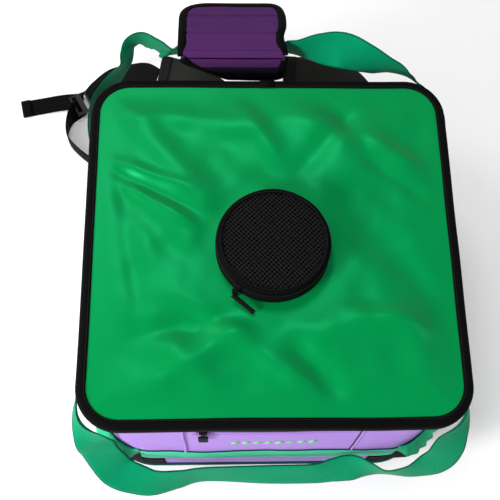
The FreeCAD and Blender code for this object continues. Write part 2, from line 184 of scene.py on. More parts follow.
LID_GREEN = (0.0003, 0.20, 0.044)
WEB_GREEN = (0.002, 0.225, 0.1)
LAVENDER = (0.33, 0.18, 0.56)
PURPLE = (0.065, 0.022, 0.10)
NAVY = (0.008, 0.03, 0.05)
TEAL = (0.03, 0.62, 0.34)
BLACK = (0.0018, 0.0018, 0.002)
M = {
    "lid": woven("lid cloth", LID_GREEN, 0.5 * MM, 0.33, 0.02 * MM, 0.06, "Object", gloss=0.5,
                 shine=(0.03, 1.0, 0.42)),
    "binding": woven("binding tape", BLACK, 0.8 * MM, 0.8, 0.12 * MM, 0.35, twill=True, gloss=0.05),
    "lavender": woven("lavender cloth", LAVENDER, 0.7 * MM, 0.5, 0.05 * MM, 0.05),
    "purple": woven("purple cloth", PURPLE, 0.7 * MM, 0.55, 0.06 * MM, 0.12, gloss=0.1),
    "grip": woven("grip cloth", (0.062, 0.016, 0.09), 0.9 * MM, 0.7, 0.1 * MM, 0.12, "Object", gloss=0.05),
    "web": woven("green webbing", WEB_GREEN, 2.4 * MM, 0.5, 0.3 * MM, 0.2, twill=True, gloss=0.06,
                 shine=(0.05, 1.0, 0.6)),
    "handle web": woven("handle webbing", WEB_GREEN, 2.4 * MM, 0.5, 0.3 * MM, 0.2, twill=True, gloss=0.06,
                        shine=(0.05, 1.0, 0.6), edge=40 * MM),
    "band": woven("teal band", TEAL, 1.8 * MM, 0.6, 0.2 * MM, 0.14, twill=True),
    "hem": woven("gathered hem", (0.01, 0.40, 0.19), 1.2 * MM, 0.6, 0.15 * MM, 0.2),
    "navy": woven("navy edge", NAVY, 0.8 * MM, 0.7, 0.1 * MM, 0.2),
    "black": woven("black cloth", (0.003, 0.003, 0.0035), 0.9 * MM, 0.75, 0.12 * MM, 0.3, gloss=0.05),
    "strap": woven("grey strap cloth", (0.017, 0.017, 0.015), 0.8 * MM, 0.8, 0.1 * MM, 0.2, "Object",
                   gloss=0.05),
    "blackweb": woven("black webbing", BLACK, 1.3 * MM, 0.7, 0.2 * MM, 0.4, twill=True, gloss=0.05),
    "lining": woven("lining cloth", (0.05, 0.05, 0.055), 0.7 * MM, 0.6, 0.05 * MM, 0.1, "Object"),
    "zip": woven("zip tape", BLACK, 0.6 * MM, 0.7, 0.08 * MM, 0.3, gloss=0.05),
    "coil": plain("zip coil", (0.006, 0.006, 0.007), 0.35),
    "foam": plain("foam", (0.62, 0.60, 0.55), 0.9, grain=900.0, depth=0.2 * MM),
    "slider": plain("painted zinc", (0.006, 0.006, 0.007), 0.6, gloss=0.03),
    "plastic": plain("moulded plastic", (0.01, 0.01, 0.011), 0.4),
    "thread": plain("dark thread", (0.012, 0.012, 0.014), 0.7),
    "lilac thread": plain("lilac thread", (0.33, 0.2, 0.55), 0.7),
    "green thread": plain("green thread", (0.01, 0.20, 0.1), 0.7),
    "mark": plain("printed mark", (0.16, 0.56, 0.24), 0.5),
    "board": plain("stiffening board", (0.02, 0.02, 0.02), 0.6),
    "mesh": woven("spacer mesh", (0.006, 0.006, 0.0065), 0.7 * MM, 0.75, 0.06 * MM, 0.3, gloss=0.1),
    # near black and without gloss: painted shade for the dark inside seen through the mesh's holes
    "mesh hole painted shade": plain("mesh hole painted shade", (0.0006, 0.0006, 0.0006), 0.9, gloss=0.0),
    "piping": woven("piping cloth", (0.006, 0.05, 0.05), 0.8 * MM, 0.7, 0.1 * MM, 0.2),
    # a darker copy of the purple grip cloth: painted shade on the front flap's lower faces
    "grip painted shade": woven("grip painted shade cloth", (0.007, 0.003, 0.014), 0.9 * MM, 0.7, 0.1 * MM, 0.12, "Object"),
    "strap hem": woven("strap hem cloth", (0.009, 0.009, 0.009), 0.8 * MM, 0.8, 0.1 * MM, 0.2, "Object",
                       gloss=0.05),
}


# ---- mesh helpers ----
def from_mm(points, across=0.0, up=0.0):
    """Points of a profile, given in millimetres from a place that is in metres."""
    return [(across + a * MM, up + b * MM) for a, b in points]


def piece(name, verts, faces, material, uvs=None, smooth=True):
    mesh = bpy.data.meshes.new(name)
    mesh.from_pydata([tuple(v) for v in verts], [], faces)
    if uvs is not None:
        layer = mesh.uv_layers.new(name="UVMap")
        for loop in mesh.loops:
            layer.data[loop.index].uv = uvs[loop.vertex_index]
    mesh.materials.append(M[material])
    for poly in mesh.polygons:
        poly.use_smooth = smooth
    mesh.update()
    o = bpy.data.objects.new(name, mesh)
    bpy.context.scene.collection.objects.link(o)
    return o


def grid_faces(rows, cols, close_rows=False, close_cols=False):
    faces = []
    for i in range(rows if close_rows else rows - 1):
        for j in range(cols if close_cols else cols - 1):
            a, b = i * cols, ((i + 1) % rows) * cols
            k = (j + 1) % cols
            faces.append((a + j, a + k, b + k, b + j))
    return faces


def ball_noise(p, scale, seed=0.0):
    return noise.noise(Vector((p[0] * scale + seed, p[1] * scale - seed, p[2] * scale + 2 * seed)))


def rim(half, corner, s):
    """A point s along a rounded square, from its front middle to the right, and its outward direction."""
    flat = half - corner
    arc = corner * math.pi / 2
    side = 2 * flat + arc
    s = (s + flat) % (4 * side)
    k = int(s // side)
    t = s - k * side
    if t < 2 * flat:
        x, y, nx, ny = -flat + t, -half, 0.0, -1.0
    else:
        a = -math.pi / 2 + (t - 2 * flat) / corner
        x, y = flat + corner * math.cos(a), -flat + corner * math.sin(a)
        nx, ny = math.cos(a), math.sin(a)
    for _ in range(k):
        x, y, nx, ny = -y, x, -ny, nx
    return x, y, nx, ny


def rim_length(half, corner):
    return 4 * (2 * (half - corner) + corner * math.pi / 2)


WALL_RIM = rim_length(WALL_HALF, WALL_CORNER)
CORNER_START = WALL_HALF - WALL_CORNER
CORNER_END = CORNER_START + WALL_CORNER * math.pi / 2


def on_wall(s, z, out):
    x, y, nx, ny = rim(WALL_HALF, WALL_CORNER, s)
    return Vector((x + nx * out, y + ny * out, z))


def wall_normal(s):
    """The direction straight out of the wall at s."""
    return Vector((*rim(WALL_HALF, WALL_CORNER, s)[2:], 0))


def smooth_step(a, b, x):
    t = min(1.0, max(0.0, (x - a) / (b - a)))
    return t * t * (3 - 2 * t)


def bulge(s, z):
    """How far the soft wall stands out of its flat shape at s, z."""
    height = z / WALL_TOP
    belly = math.sin(math.pi * min(1, max(0, height))) ** 0.8
    flat = abs(((s + WALL_RIM / 8) % (WALL_RIM / 4)) - WALL_RIM / 8) / (WALL_RIM / 8)
    puff = 3.2 * MM * belly * (1 - 0.6 * flat * flat)
    p = on_wall(s, z, 0)
    return puff + 1.6 * MM * belly * ball_noise(p, 14, 3.1) + 0.7 * MM * belly * ball_noise(p, 42, 7.7)


def flat_wall(s, z):
    return 0.0


def snapped(values, targets):
    """The values, with the one nearest to each target moved onto it."""
    values = list(values)
    for t in targets:
        k = min(range(len(values)), key=lambda i: abs(values[i] - t))
        values[k] = t
    return values


def wall_sheet(name, s0, s1, z0, z1, material, out=0.0, step=4 * MM, shape=bulge, thick=1.2 * MM, hole=None):
    """A panel of the wall as a closed sheet, from s0 to s1 and z0 to z1, less a hole (s0, s1, z0, z1)."""
    cols = max(2, int(round((s1 - s0) / step)) + 1)
    rows = max(2, int(round((z1 - z0) / step)) + 1)
    across = [s0 + (s1 - s0) * j / (cols - 1) for j in range(cols)]
    up = [z0 + (z1 - z0) * i / (rows - 1) for i in range(rows)]
    if hole:
        across = snapped(across, hole[:2])
        up = snapped(up, hole[2:])
    uvs = [(s, z) for z in up for s in across]
    verts = [on_wall(s, z, out + shape(s, z)) for s, z in uvs]
    faces = []
    for f in grid_faces(rows, cols):
        s = sum(uvs[k][0] for k in f) / 4
        z = sum(uvs[k][1] for k in f) / 4
        if not hole or not (hole[0] < s < hole[1] and hole[2] < z < hole[3]):
            faces.append(f)
    o = piece(name, verts, faces, material, uvs)
    thicken(o, thick, -1)
    return o


def thicken(o, thick, offset=-1.0):
    mod = o.modifiers.new("thick", "SOLIDIFY")
    mod.thickness = thick
    mod.offset = offset
    apply_modifiers(o)


def apply_modifiers(o):
    dg = bpy.context.evaluated_depsgraph_get()
    mesh = bpy.data.meshes.new_from_object(o.evaluated_get(dg))
    o.modifiers.clear()
    old = o.data
    o.data = mesh
    bpy.data.meshes.remove(old)


def sweep(name, path, profile, material, closed=False, ups=None):
    """A closed profile of points (across, up) carried along a path, with its up direction at each point."""
    n = len(path)
    verts, uvs = [], []
    around = [0.0]
    for k in range(len(profile)):
        a, b = profile[k], profile[(k + 1) % len(profile)]
        around.append(around[-1] + math.hypot(b[0] - a[0], b[1] - a[1]))
    run = 0.0
    for i, p in enumerate(path):
        before = path[(i - 1) % n] if closed or i > 0 else p
        after = path[(i + 1) % n] if closed or i < n - 1 else p
        along = (after - before).normalized()
        up = (ups[i] if ups else Vector((0, 0, 1)))
        up = (up - along * up.dot(along)).normalized()
        side = along.cross(up)
        if i:
            run += (p - path[i - 1]).length
        for k, (a, u) in enumerate(profile):
            verts.append(p + side * a + up * u)
            uvs.append((around[k], run))
    faces = grid_faces(n, len(profile), closed, True)
    if not closed:
        m = len(profile)
        faces.append(tuple(range(m - 1, -1, -1)))
        faces.append(tuple((n - 1) * m + k for k in range(m)))
    return piece(name, verts, faces, material, uvs)


def circle(radius, n=8):
    return [(radius * math.cos(TAU * k / n), radius * math.sin(TAU * k / n)) for k in range(n)]


def join(name, objects):
    """Several meshes as one piece."""
    bm = bmesh.new()
    materials = []
    for o in objects:
        for mat in o.data.materials:
            if mat not in materials:
                materials.append(mat)
    for o in objects:
        index = [materials.index(mat) for mat in o.data.materials]
        mesh = o.data.copy()
        mesh.transform(o.matrix_world)
        for poly in mesh.polygons:
            poly.material_index = index[poly.material_index]
        bm.from_mesh(mesh)
        bpy.data.meshes.remove(mesh)
        bpy.data.objects.remove(o)
    mesh = bpy.data.meshes.new(name)
    bm.to_mesh(mesh)
    bm.free()
    for mat in materials:
        mesh.materials.append(mat)
    o = bpy.data.objects.new(name, mesh)
    bpy.context.scene.collection.objects.link(o)
    return o


def stitches(name, path, normals, material="thread", pitch=3.2 * MM, length=2.3 * MM, radius=0.28 * MM):
    """Thread stitches that lie along a path on a surface."""
    verts, faces = [], []
    carried = 0.0
    for i in range(len(path) - 1):
        a, b = path[i], path[i + 1]
        gap = (b - a).length
        if gap == 0:
            continue
        along = (b - a) / gap
        while carried < gap:
            centre = a + along * carried
            up = normals[i].normalized()
            side = along.cross(up).normalized()
            start = len(verts)
            for end in (-0.5, -0.25, 0.25, 0.5):
                lift = radius * (0.6 if abs(end) < 0.4 else -0.3)
                wide = radius * (1.0 if abs(end) < 0.4 else 0.5)
                spot = centre + along * (end * length) + up * lift
                verts += [spot + side * wide, spot + up * radius, spot - side * wide, spot - up * radius]
            for k in range(3):
                for c in range(4):
                    d = (c + 1) % 4
                    base = start + 4 * k
                    faces.append((base + c, base + d, base + 4 + d, base + 4 + c))
            faces.append((start + 3, start + 2, start + 1, start))
            faces.append((start + 12, start + 13, start + 14, start + 15))
            carried += pitch
        carried -= gap
    return piece(name, verts, faces, material)


def wall_stitches(name, points, out, material, **sizes):
    """Stitches on the wall through points (s, z)."""
    path, normals = [], []
    for (s0, z0), (s1, z1) in zip(points, points[1:]):
        n = max(2, int(math.hypot(s1 - s0, z1 - z0) / (3 * MM)))
        for k in range(n):
            s, z = s0 + (s1 - s0) * k / n, z0 + (z1 - z0) * k / n
            path.append(on_wall(s, z, out + bulge(s, z)))
            normals.append(wall_normal(s))
    s, z = points[-1]
    path.append(on_wall(s, z, out + bulge(s, z)))
    normals.append(normals[-1])
    return stitches(name, path, normals, material, **sizes)


# ---- straps ----
def spline(points, steps):
    """A smooth curve through the points, with steps samples to a span."""
    pts = [Vector(p) for p in points]
    pts = [pts[0] * 2 - pts[1]] + pts + [pts[-1] * 2 - pts[-2]]
    out = []
    for i in range(1, len(pts) - 2):
        a, b, c, d = pts[i - 1: i + 3]
        for k in range(steps):
            t = k / steps
            out.append(0.5 * (2 * b + (c - a) * t + (2 * a - 5 * b + 4 * c - d) * t * t
                              + (3 * b - a - 3 * c + d) * t ** 3))
    out.append(pts[-2])
    return out


def sample_stations(stations, steps=8):
    """Centres in metres, width directions and up directions along a strap's stations."""
    centres = [c * MM for c in spline([s[0] for s in stations], steps)]
    widths = spline([Vector(s[1]).normalized() for s in stations], steps)
    last = len(centres) - 1
    sides, ups = [], []
    for i, width in enumerate(widths):
        along = (centres[min(i + 1, last)] - centres[max(i - 1, 0)]).normalized()
        side = (width - along * width.dot(along)).normalized()
        sides.append(side)
        ups.append(along.cross(side))
    return centres, sides, ups


def strap(name, stations, width, thick, material, steps=8, across=10, pad=0.0):
    """A flat strap through stations, each a centre in mm and the direction of its width. pad swells it."""
    centres, sides, ups = sample_stations(stations, steps)
    run = 0.0
    verts, uvs = [], []
    n = len(centres)
    for i, c in enumerate(centres):
        if i:
            run += (c - centres[i - 1]).length
        upper = math.sin(math.pi * i / (n - 1)) ** 0.25 if 0 < i < n - 1 else 0.0
        for face, swell in ((1, upper), (-1, 0.5)):
            for k in range(across + 1)[::face]:
                f = k / across * 2 - 1
                half = thick / 2 * (0.55 if abs(f) > 0.97 else 1.0)
                up = face * (half + pad * (1 - f * f) ** 0.7 * swell)
                verts.append(c + sides[i] * (f * width / 2) + ups[i] * up)
                uvs.append((k / across * width, run))
    m = 2 * (across + 1)
    faces = grid_faces(n, m, False, True)
    faces.append(tuple(range(m - 1, -1, -1)))
    faces.append(tuple((n - 1) * m + k for k in range(m)))
    return piece(name, verts, faces, material, uvs)


FRONT_HANDLE = [
    ((-189.5, -108, 200), (0, -0.4, -0.9)),
    ((-195, -136, 194), (-0.1, 0.2, -0.95)),
    ((-197, -160, 178), (-0.2, 0.35, -0.87)),
    ((-186, -179, 150), (-0.55, -0.2, -0.81)),
    ((-180, -187, 124), (-0.48, -0.36, -0.8)),
    ((-172, -196, 104), (-0.5, -0.55, -0.67)),
    ((-162, -205, 88), (-0.5, -0.68, -0.5)),
    ((-146, -211, 82), (-0.35, -0.66, -0.64)),
    ((-126, -215, 76), (-0.2, -0.55, -0.8)),
    ((-98, -211, 74), (-0.1, -0.35, -0.93)),
    ((-69, -206, 74), (0, -0.22, -0.97)),
    ((0, -207, 75), (0, -0.35, -0.94)),
    ((50, -207, 77), (0, -0.38, -0.93)),
    ((72, -204, 81), (-0.15, -0.5, -0.86)),
    ((91, -202, 85), (0, -0.55, -0.84)),
    ((110, -204, 87), (0.1, -0.2, -0.96)),
    ((127, -208, 89), (0.2, 0.05, -0.97)),
    ((143, -209, 93), (0.26, -0.05, -0.97)),
    ((160, -207, 98), (0.35, -0.22, -0.92)),
    ((174, -203, 109), (0.42, -0.38, -0.82)),
    ((184, -195, 128), (0.5, -0.34, -0.8)),
    ((188, -182, 152), (0.55, -0.2, -0.81)),
    ((197, -162, 180), (0.3, 0.35, -0.85)),
    ((195, -136, 195), (0.1, 0.2, -0.95)),
    ((189.5, -108, 200), (0, -0.4, -0.9)),
]
REAR_HANDLE = [
    ((-187, 108, 200), (0, 0.1, 0.99)),
    ((-194, 132, 200), (0, 0, 1)),
    ((-197, 158, 199), (0, -0.05, 1)),
    ((-193, 184, 199), (-0.05, -0.1, 0.99)),
    ((-180, 205, 203), (-0.15, -0.2, 0.97)),
    ((-168, 219, 212), (-0.1, -0.3, 0.95)),
    ((-158, 226, 226), (-0.12, -0.5, 0.86)),
    ((-153, 232, 240), (-0.05, -0.35, 0.94)),
    ((-146, 236, 249), (-0.02, -0.25, 0.97)),
    ((-135, 237, 252), (0, -0.2, 0.98)),
    ((-122, 233, 248), (0.02, -0.25, 0.97)),
    ((-110, 231, 240), (0.05, -0.4, 0.92)),
    ((-97, 235, 236), (0, -0.38, 0.92)),
    ((-40, 237, 235), (0, -0.35, 0.94)),
    ((16, 238, 236), (-0.05, -0.38, 0.92)),
    ((39, 230, 245), (-0.1, -0.1, 0.98)),
    ((61, 225, 253), (0, 0.4, 0.91)),
    ((82, 221, 257), (0.2, 0.65, 0.72)),
    ((104, 216, 251), (0.1, 0.3, 0.95)),
    ((127, 214, 238), (-0.08, -0.1, 0.99)),
    ((149, 217, 221), (-0.2, -0.4, 0.88)),
    ((167, 216, 210), (-0.3, -0.5, 0.8)),
    ((182, 205, 205), (-0.3, -0.35, 0.88)),
    ((193, 186, 201), (-0.1, -0.2, 0.97)),
    ((197, 160, 200), (0, -0.1, 0.99)),
    ((194, 134, 200), (0, 0, 1)),
    ((187, 108, 200), (0, 0.1, 0.99)),
]
LEFT_STRAP = [
    ((-44, 191, 198), (1, 0, 0)),
    ((-46, 198, 150), (1, 0, 0)),
    ((-43, 219, 106), (0.92, 0.38, 0.06)),
    ((-64, 256, 97), (0.6, 0.75, 0.3)),
    ((-98, 284, 88), (0.25, 0.83, 0.5)),
    ((-131, 295, 85), (0, 0.84, 0.54)),
]
RIGHT_STRAP = [
    ((84, 191, 198), (1, 0, 0)),
    ((88, 199, 150), (1, 0, 0)),
    ((104, 219, 104), (0.9, 0.4, 0)),
    ((122, 250, 84), (0.7, 0.7, 0.1)),
    ((110, 281, 82), (-0.3, 0.84, 0.45)),
    ((70, 292, 84), (-0.1, 0.85, 0.52)),
    ((30, 294, 85), (0, 0.84, 0.54)),
]
LEFT_WEB = [
    ((-133, 297, 84), (0, 0.84, 0.54)),
    ((-148, 309, 78), (0, 0.84, 0.54)),
    ((-168, 315, 66), (0, 0.86, 0.5)),
    ((-196, 323, 43), (-0.2, 0.88, 0.42)),
    ((-218, 320, 21), (-0.4, 0.88, 0.25)),
    ((-232, 311, 10), (-0.5, 0.86, 0)),
]
LEFT_LOOP = [
    ((-243, 298, 9), (-0.55, 0.8, 0.25)),
    ((-253, 283, 12), (-0.2, 0.3, 0.93)),
    ((-258, 264, 13), (0, 0, 1)),
    ((-255, 246, 13), (0, 0, 1)),
    ((-243, 230, 13), (0, 0, 1)),
    ((-222, 212, 13), (0, 0, 1)),
    ((-196, 193, 17), (0, 0, 1)),
    ((-171, 171, 20), (0, 0, 1)),
]
LEFT_TAIL = [
    ((-240, 311, 3.4), (0.2, 0.98, 0)),
    ((-268, 309, 2.4), (0.16, 0.99, 0)),
    ((-296, 304, 1.2), (0.18, 0.98, 0)),
    ((-323, 298, 1.2), (0.2, 0.98, 0)),
]
RIGHT_WEB = [
    ((52, 290, 70), (0, 0.84, 0.54)),
    ((38, 284, 54), (0.1, 0.9, 0.4)),
    ((42, 276, 30), (0.2, 0.95, -0.1)),
    ((64, 268, 14), (0.1, 0.99, -0.1)),
    ((98, 256, 9), (0.2, 0.9, 0.3)),
    ((134, 236, 13), (0, 0.2, 0.98)),
    ((164, 206, 15), (0, 0, 1)),
    ((171, 171, 20), (0, 0, 1)),
]


def done(o, body, slot, *nodes):
    """Says what a piece rides on, unless it is blended, and hides the CAD nodes it stands for; slot is not
    used.
    """
    o.name = o.name.replace(" ", "_")
    if body:
        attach(o, body)
    if nodes:
        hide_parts(*nodes)
    return o


def cloth(o, height, held, rests_on):
    """Takes a sheet and does nothing with it; its cut height is not used."""


def blocks(name, path, normals, pitch, size, material, shift=0.0, offset=0.0, lift=0.0):
    """Small blocks in a row along a path: size is (along, across, out)."""
    verts, faces = [], []
    carried = shift
    for i in range(len(path) - 1):
        a, b = path[i], path[i + 1]
        gap = (b - a).length
        along = (b - a).normalized()
        up = normals[i].normalized()
        side = along.cross(up).normalized()
        while carried < gap:
            c = a + along * carried + side * offset + up * lift
            start = len(verts)
            for dx, dy, dz in CORNERS:
                shrink = 0.7 if dz > 0 else 1.0
                verts.append(c + along * (dx * size[0] / 2 * shrink) + side * (dy * size[1] / 2 * shrink)
                             + up * (dz * size[2] / 2))
            faces += [tuple(start + k for k in f) for f in BLOCK_FACES]
            carried += pitch
        carried -= gap
    return piece(name, verts, faces, material, smooth=False)


CORNERS = [(-1, -1, -1), (1, -1, -1), (1, 1, -1), (-1, 1, -1), (-1, -1, 1), (1, -1, 1), (1, 1, 1), (-1, 1, 1)]
BLOCK_FACES = [(0, 3, 2, 1), (4, 5, 6, 7), (0, 1, 5, 4), (1, 2, 6, 5), (2, 3, 7, 6), (3, 0, 4, 7)]


def zip_teeth(name, path, normals, lift=0.4 * MM):
    """Two rows of teeth that mesh along a path."""
    rows = []
    for k, side in enumerate((-1, 1)):
        rows.append(blocks(name + str(k), path, normals, 2.0 * MM, (1.1 * MM, 2.2 * MM, 1.4 * MM), "coil",
                           shift=k * 1.0 * MM, offset=side * 0.8 * MM, lift=lift))
    return join(name, rows)


# ---- handles and shoulder straps ----
def between(a, b, t):
    """A station a share t of the way from a to b."""
    centre = Vector(a[0]).lerp(Vector(b[0]), t)
    return (tuple(centre), tuple(Vector(a[1]).lerp(Vector(b[1]), t)))


def edge_lines(name, stations, inset, width, thick, lift=0.0, span=(0.0, 1.0)):
    """Stitches down both long edges of a strap, on both of its faces."""
    centres, sides, ups = sample_stations(stations)
    first, last = (int(share * (len(centres) - 1)) for share in span)
    rows = []
    for face in (1, -1):
        out = face * (thick / 2 + lift)
        for edge in (1, -1):
            off = edge * (width / 2 - inset)
            path = [centres[i] + sides[i] * off + ups[i] * out for i in range(first, last + 1)]
            normals = [ups[i] * face for i in range(first, last + 1)]
            rows.append(stitches(name + str(face) + str(edge), path, normals))
    return join(name, rows)


def make_handles():
    web = dict(width=40 * MM, thick=1.9 * MM, material="handle web", across=12)
    o = strap("front handle webbing", FRONT_HANDLE, **web)
    done(o, "front_carry_handle", "handle_green", "front_handle")
    o = strap("rear handle webbing", REAR_HANDLE, **web)
    done(o, "rear_carry_handle", "handle_green", "rear_handle")
    quarter = WALL_RIM / 4
    apart = 0.108
    places = (("front left", -quarter + apart), ("rear left", -quarter - apart),
              ("front right", quarter - apart), ("rear right", quarter + apart))
    for name, middle in places:
        node = name.replace(" ", "_") + "_anchor"
        low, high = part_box(node)[0].z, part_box(node)[1].z + 6 * MM
        s0, s1 = middle - 20 * MM, middle + 20 * MM
        o = wall_sheet(name + " anchor webbing", s0, s1, low, high, "web", 2 * MM, thick=1.9 * MM)
        cloth(o, high - low, "stretched", [name.split()[1] + "_panel"])
        done(o, "bag", "handle_green", node)
        inset = 4 * MM
        a, b, c, d = s0 + inset, s1 - inset, low + inset, low + 42 * MM
        outline = [(a, c), (b, c), (b, d), (a, d), (a, c), (b, d)]
        o = wall_stitches(name + " anchor stitches", outline, 2.0 * MM, "green thread")
        second = wall_stitches("cross", [(b, c), (a, d)], 2.0 * MM, "green thread")
        done(join(name + " anchor stitches", [o, second]), "bag", "handle_green")


def make_shoulder_straps():
    for side, stations in (("left", LEFT_STRAP), ("right", RIGHT_STRAP)):
        body = side + "_shoulder_strap"
        o = strap(side + " padded strap", stations, 60 * MM, 5 * MM, "strap", pad=2.4 * MM, across=14)
        done(o, body, "strap_grey", side + "_strap")
        o = edge_lines(side + " strap stitches", stations, 3.5 * MM, 60 * MM, 5 * MM, lift=1.1 * MM,
                       span=(0.02, 0.9))
        done(o, body, "strap_grey")
        ends = [between(stations[-2], stations[-1], 0.62), stations[-1]]
        o = strap(side + " strap hem", ends, 61.5 * MM, 8.5 * MM, "strap hem", steps=6, across=14)
        done(o, body, "strap_grey")
    narrow = dict(width=25 * MM, thick=1.5 * MM, material="blackweb", across=6)
    o = strap("left narrow webbing", LEFT_WEB, **narrow)
    done(o, None, "web_black", "left_strap_web")
    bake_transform(o)
    loop = strap("loop", LEFT_LOOP, **narrow)
    tail = strap("tail", LEFT_TAIL, **narrow)
    ends = [between(LEFT_TAIL[-2], LEFT_TAIL[-1], 0.55), LEFT_TAIL[-1]]
    fold = strap("fold", ends, 25.4 * MM, 4.2 * MM, "blackweb", steps=4, across=6)
    fold.location.z = 1.0 * MM
    bpy.context.view_layer.update()
    done(join("left webbing loop and tail", [loop, tail, fold]), "bag", "web_black", "left_strap_tail")
    o = strap("right narrow webbing", RIGHT_WEB, **narrow)
    done(o, None, "web_black", "right_strap_web")
    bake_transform(o)
    for side, sign in (("left", 1), ("right", -1)):
        middle = WALL_RIM / 2 + sign * WALL_RIM / 8
        o = wall_sheet(side + " corner tab", middle - 12 * MM, middle + 12 * MM, 8 * MM, 33 * MM, "blackweb",
                       3.4 * MM, 3 * MM, thick=2.4 * MM)
        done(o, "bag", "web_black", side + "_lower_anchor")
    low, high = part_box("strap_yoke")
    s0, s1 = WALL_RIM / 2 - high.x, WALL_RIM / 2 - low.x
    o = wall_sheet("strap yoke cloth", s0, s1, low.z, high.z, "black", 2.4 * MM, thick=2.2 * MM)
    cloth(o, high.z - low.z, "stretched", ["rear_panel"])
    done(o, "bag", "pocket_black", "strap_yoke")
    inset = 4 * MM
    frame_line = [(s0 + inset, low.z + inset), (s1 - inset, low.z + inset), (s1 - inset, high.z - inset),
                  (s0 + inset, high.z - inset), (s0 + inset, low.z + inset)]
    done(wall_stitches("strap yoke stitches", frame_line, 2.4 * MM, "thread"), "bag", "pocket_black")


# ---- the wrap round the rear handle ----
GRIP_LOW, GRIP_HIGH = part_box("grip_base")
FLAP_LOW, FLAP_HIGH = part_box("grip_rear_flap")
HANG_LOW, HANG_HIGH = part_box("grip_front_flap")


def grip_path():
    """The wrap's middle line in Y and Z, from the hanging end in front to the end of the rear flap."""
    return [Vector((0, y * MM, z * MM)) for y, z in
            ((214.5, 213), (212.5, 232), (211.0, 248), (212.5, 255), (218, 258.4), (230, 258.8), (240, 258.6),
             (246, 257.4), (258, 252.2), (272, 245.8), (286, 239.4), (296.5, 234.6))]


def path_ups(path):
    """The outward direction at each point of the wrap's middle line."""
    last = len(path) - 1
    ups = []
    for i in range(last + 1):
        along = (path[min(i + 1, last)] - path[max(i - 1, 0)]).normalized()
        ups.append(Vector((1, 0, 0)).cross(along))
    return ups


def pad_surface(path, front, corner, face):
    """Points of one face of the wrap, rounded at its free corners and quilted."""
    total = sum((q - p).length for p, q in zip(path, path[1:]))
    run = 0.0
    rows = []
    for i, (spot, up) in enumerate(zip(path, path_ups(path))):
        if i:
            run += (spot - path[i - 1]).length
        from_free = run if front else total - run
        pull = 0.0
        if from_free < corner:
            pull = corner - math.sqrt(max(0, corner * corner - (corner - from_free) ** 2))
        left, right = GRIP_LOW.x + pull, GRIP_HIGH.x - pull * (1.0 if front else 0.45)
        if front:
            slant = min(1.0, max(0.0, (0.255 - spot.z) / 0.041))
            left = max(left, -0.095 + 0.050 * slant)
        else:
            right -= 4.5 * MM * math.exp(-((run - 24 * MM) / (13 * MM)) ** 2)
        row = []
        for j in range(GRIP_COLUMNS + 1):
            f = j / GRIP_COLUMNS
            x = left + (right - left) * f
            edge = min(f, 1 - f) * (right - left)
            swell = min(1.0, min(edge, from_free) / (9 * MM)) ** 0.5
            dents = sum(math.exp(-((run - q) / (1.4 * MM)) ** 2) for q in QUILT[front])
            soft = 0.5 * MM * ball_noise((x, spot.y, spot.z), 40, 2.2)
            thick = (1.3 + 1.1 * swell - 0.9 * dents * min(1, edge / (9 * MM))) * MM + soft * swell
            row.append(Vector((x, spot.y, spot.z)) + up * (face * thick))
        rows.append(row)
    return rows


# the rows of stitches across the wrap, from its front end and from its fold
QUILT = {True: [14 * MM], False: [6 * MM, 30 * MM, 62 * MM]}
GRIP_COLUMNS = 60


def resample(path, step):
    """Points at even steps along a smooth curve through the path."""
    fine = spline(path, 12)
    out, carried = [fine[0]], 0.0
    for p, q in zip(fine, fine[1:]):
        gap = (q - p).length
        carried += gap
        if carried >= step:
            out.append(q)
            carried = 0.0
    if (out[-1] - fine[-1]).length > step * 0.3:
        out.append(fine[-1])
    return out


def pad_shell(name, top, low, material):
    """A closed piece between the two faces of a pad."""
    n, m = len(top), len(top[0])
    under = n * m
    verts = [v for row in top + low for v in row]
    faces = grid_faces(n, m)
    faces += [tuple(under + k for k in reversed(f)) for f in grid_faces(n, m)]
    for i in range(n - 1):
        a = i * m
        b = a + m - 1
        faces.append((a, under + a, under + a + m, a + m))
        faces.append((b, b + m, under + b + m, under + b))
    for j in range(m - 1):
        k = (n - 1) * m + j
        faces.append((j, j + 1, under + j + 1, under + j))
        faces.append((k + 1, k, under + k, under + k + 1))
    return piece(name, verts, faces, material)


def smoothed(values):
    """The values with each but the first and last averaged with its neighbours."""
    inner = [(a + b * 2 + c) / 4 for a, b, c in zip(values, values[1:], values[2:])]
    return [values[0]] + inner + [values[-1]]


def grip_binding(name, path, top, low, front):
    """The bound edge of the wrap: down one side, round the free end and back up the other."""
    middle = [[(a + b) / 2 for a, b in zip(*rows)] for rows in zip(top, low)]
    if not front:
        middle.reverse()
    line = [row[0] for row in middle][::-1] + middle[0][1:-1] + [row[-1] for row in middle]
    edge = [line[0]]
    for p in line[1:]:
        if (p - edge[-1]).length > 2.0 * MM:
            edge.append(p)
    ups = []
    outward = path_ups(path)
    for p in edge:
        nearest = min(range(len(path)), key=lambda k: abs(path[k].y - p.y) + abs(path[k].z - p.z))
        ups.append(outward[nearest])
    for _ in range(3):
        edge = smoothed(edge)
        ups = [up.normalized() for up in smoothed(ups)]
    half_way = path[len(path) // 2]
    centre = Vector(((GRIP_LOW.x + GRIP_HIGH.x) / 2, half_way.y, half_way.z))
    edge = [p + (centre - p).normalized() * 2.2 * MM for p in edge]
    profile = from_mm([(-4.6, -2.2), (0, -2.9), (4.6, -2.2), (5.6, 0),
                       (4.6, 2.2), (0, 3.0), (-4.6, 2.2), (-5.4, 0)])
    return sweep(name, edge, profile, "binding", ups=ups)


def grip_stitches(name, path, top, front):
    """Rows of stitches across the wrap where it is quilted."""
    ups = path_ups(path)
    lines = []
    run = 0.0
    for i in range(1, len(path)):
        start = run
        run += (path[i] - path[i - 1]).length
        for q in QUILT[front]:
            if start <= q < run:
                row = top[i][3:-3]
                lines.append(stitches("line" + str(q), row, [ups[i]] * len(row)))
    return join(name, lines)


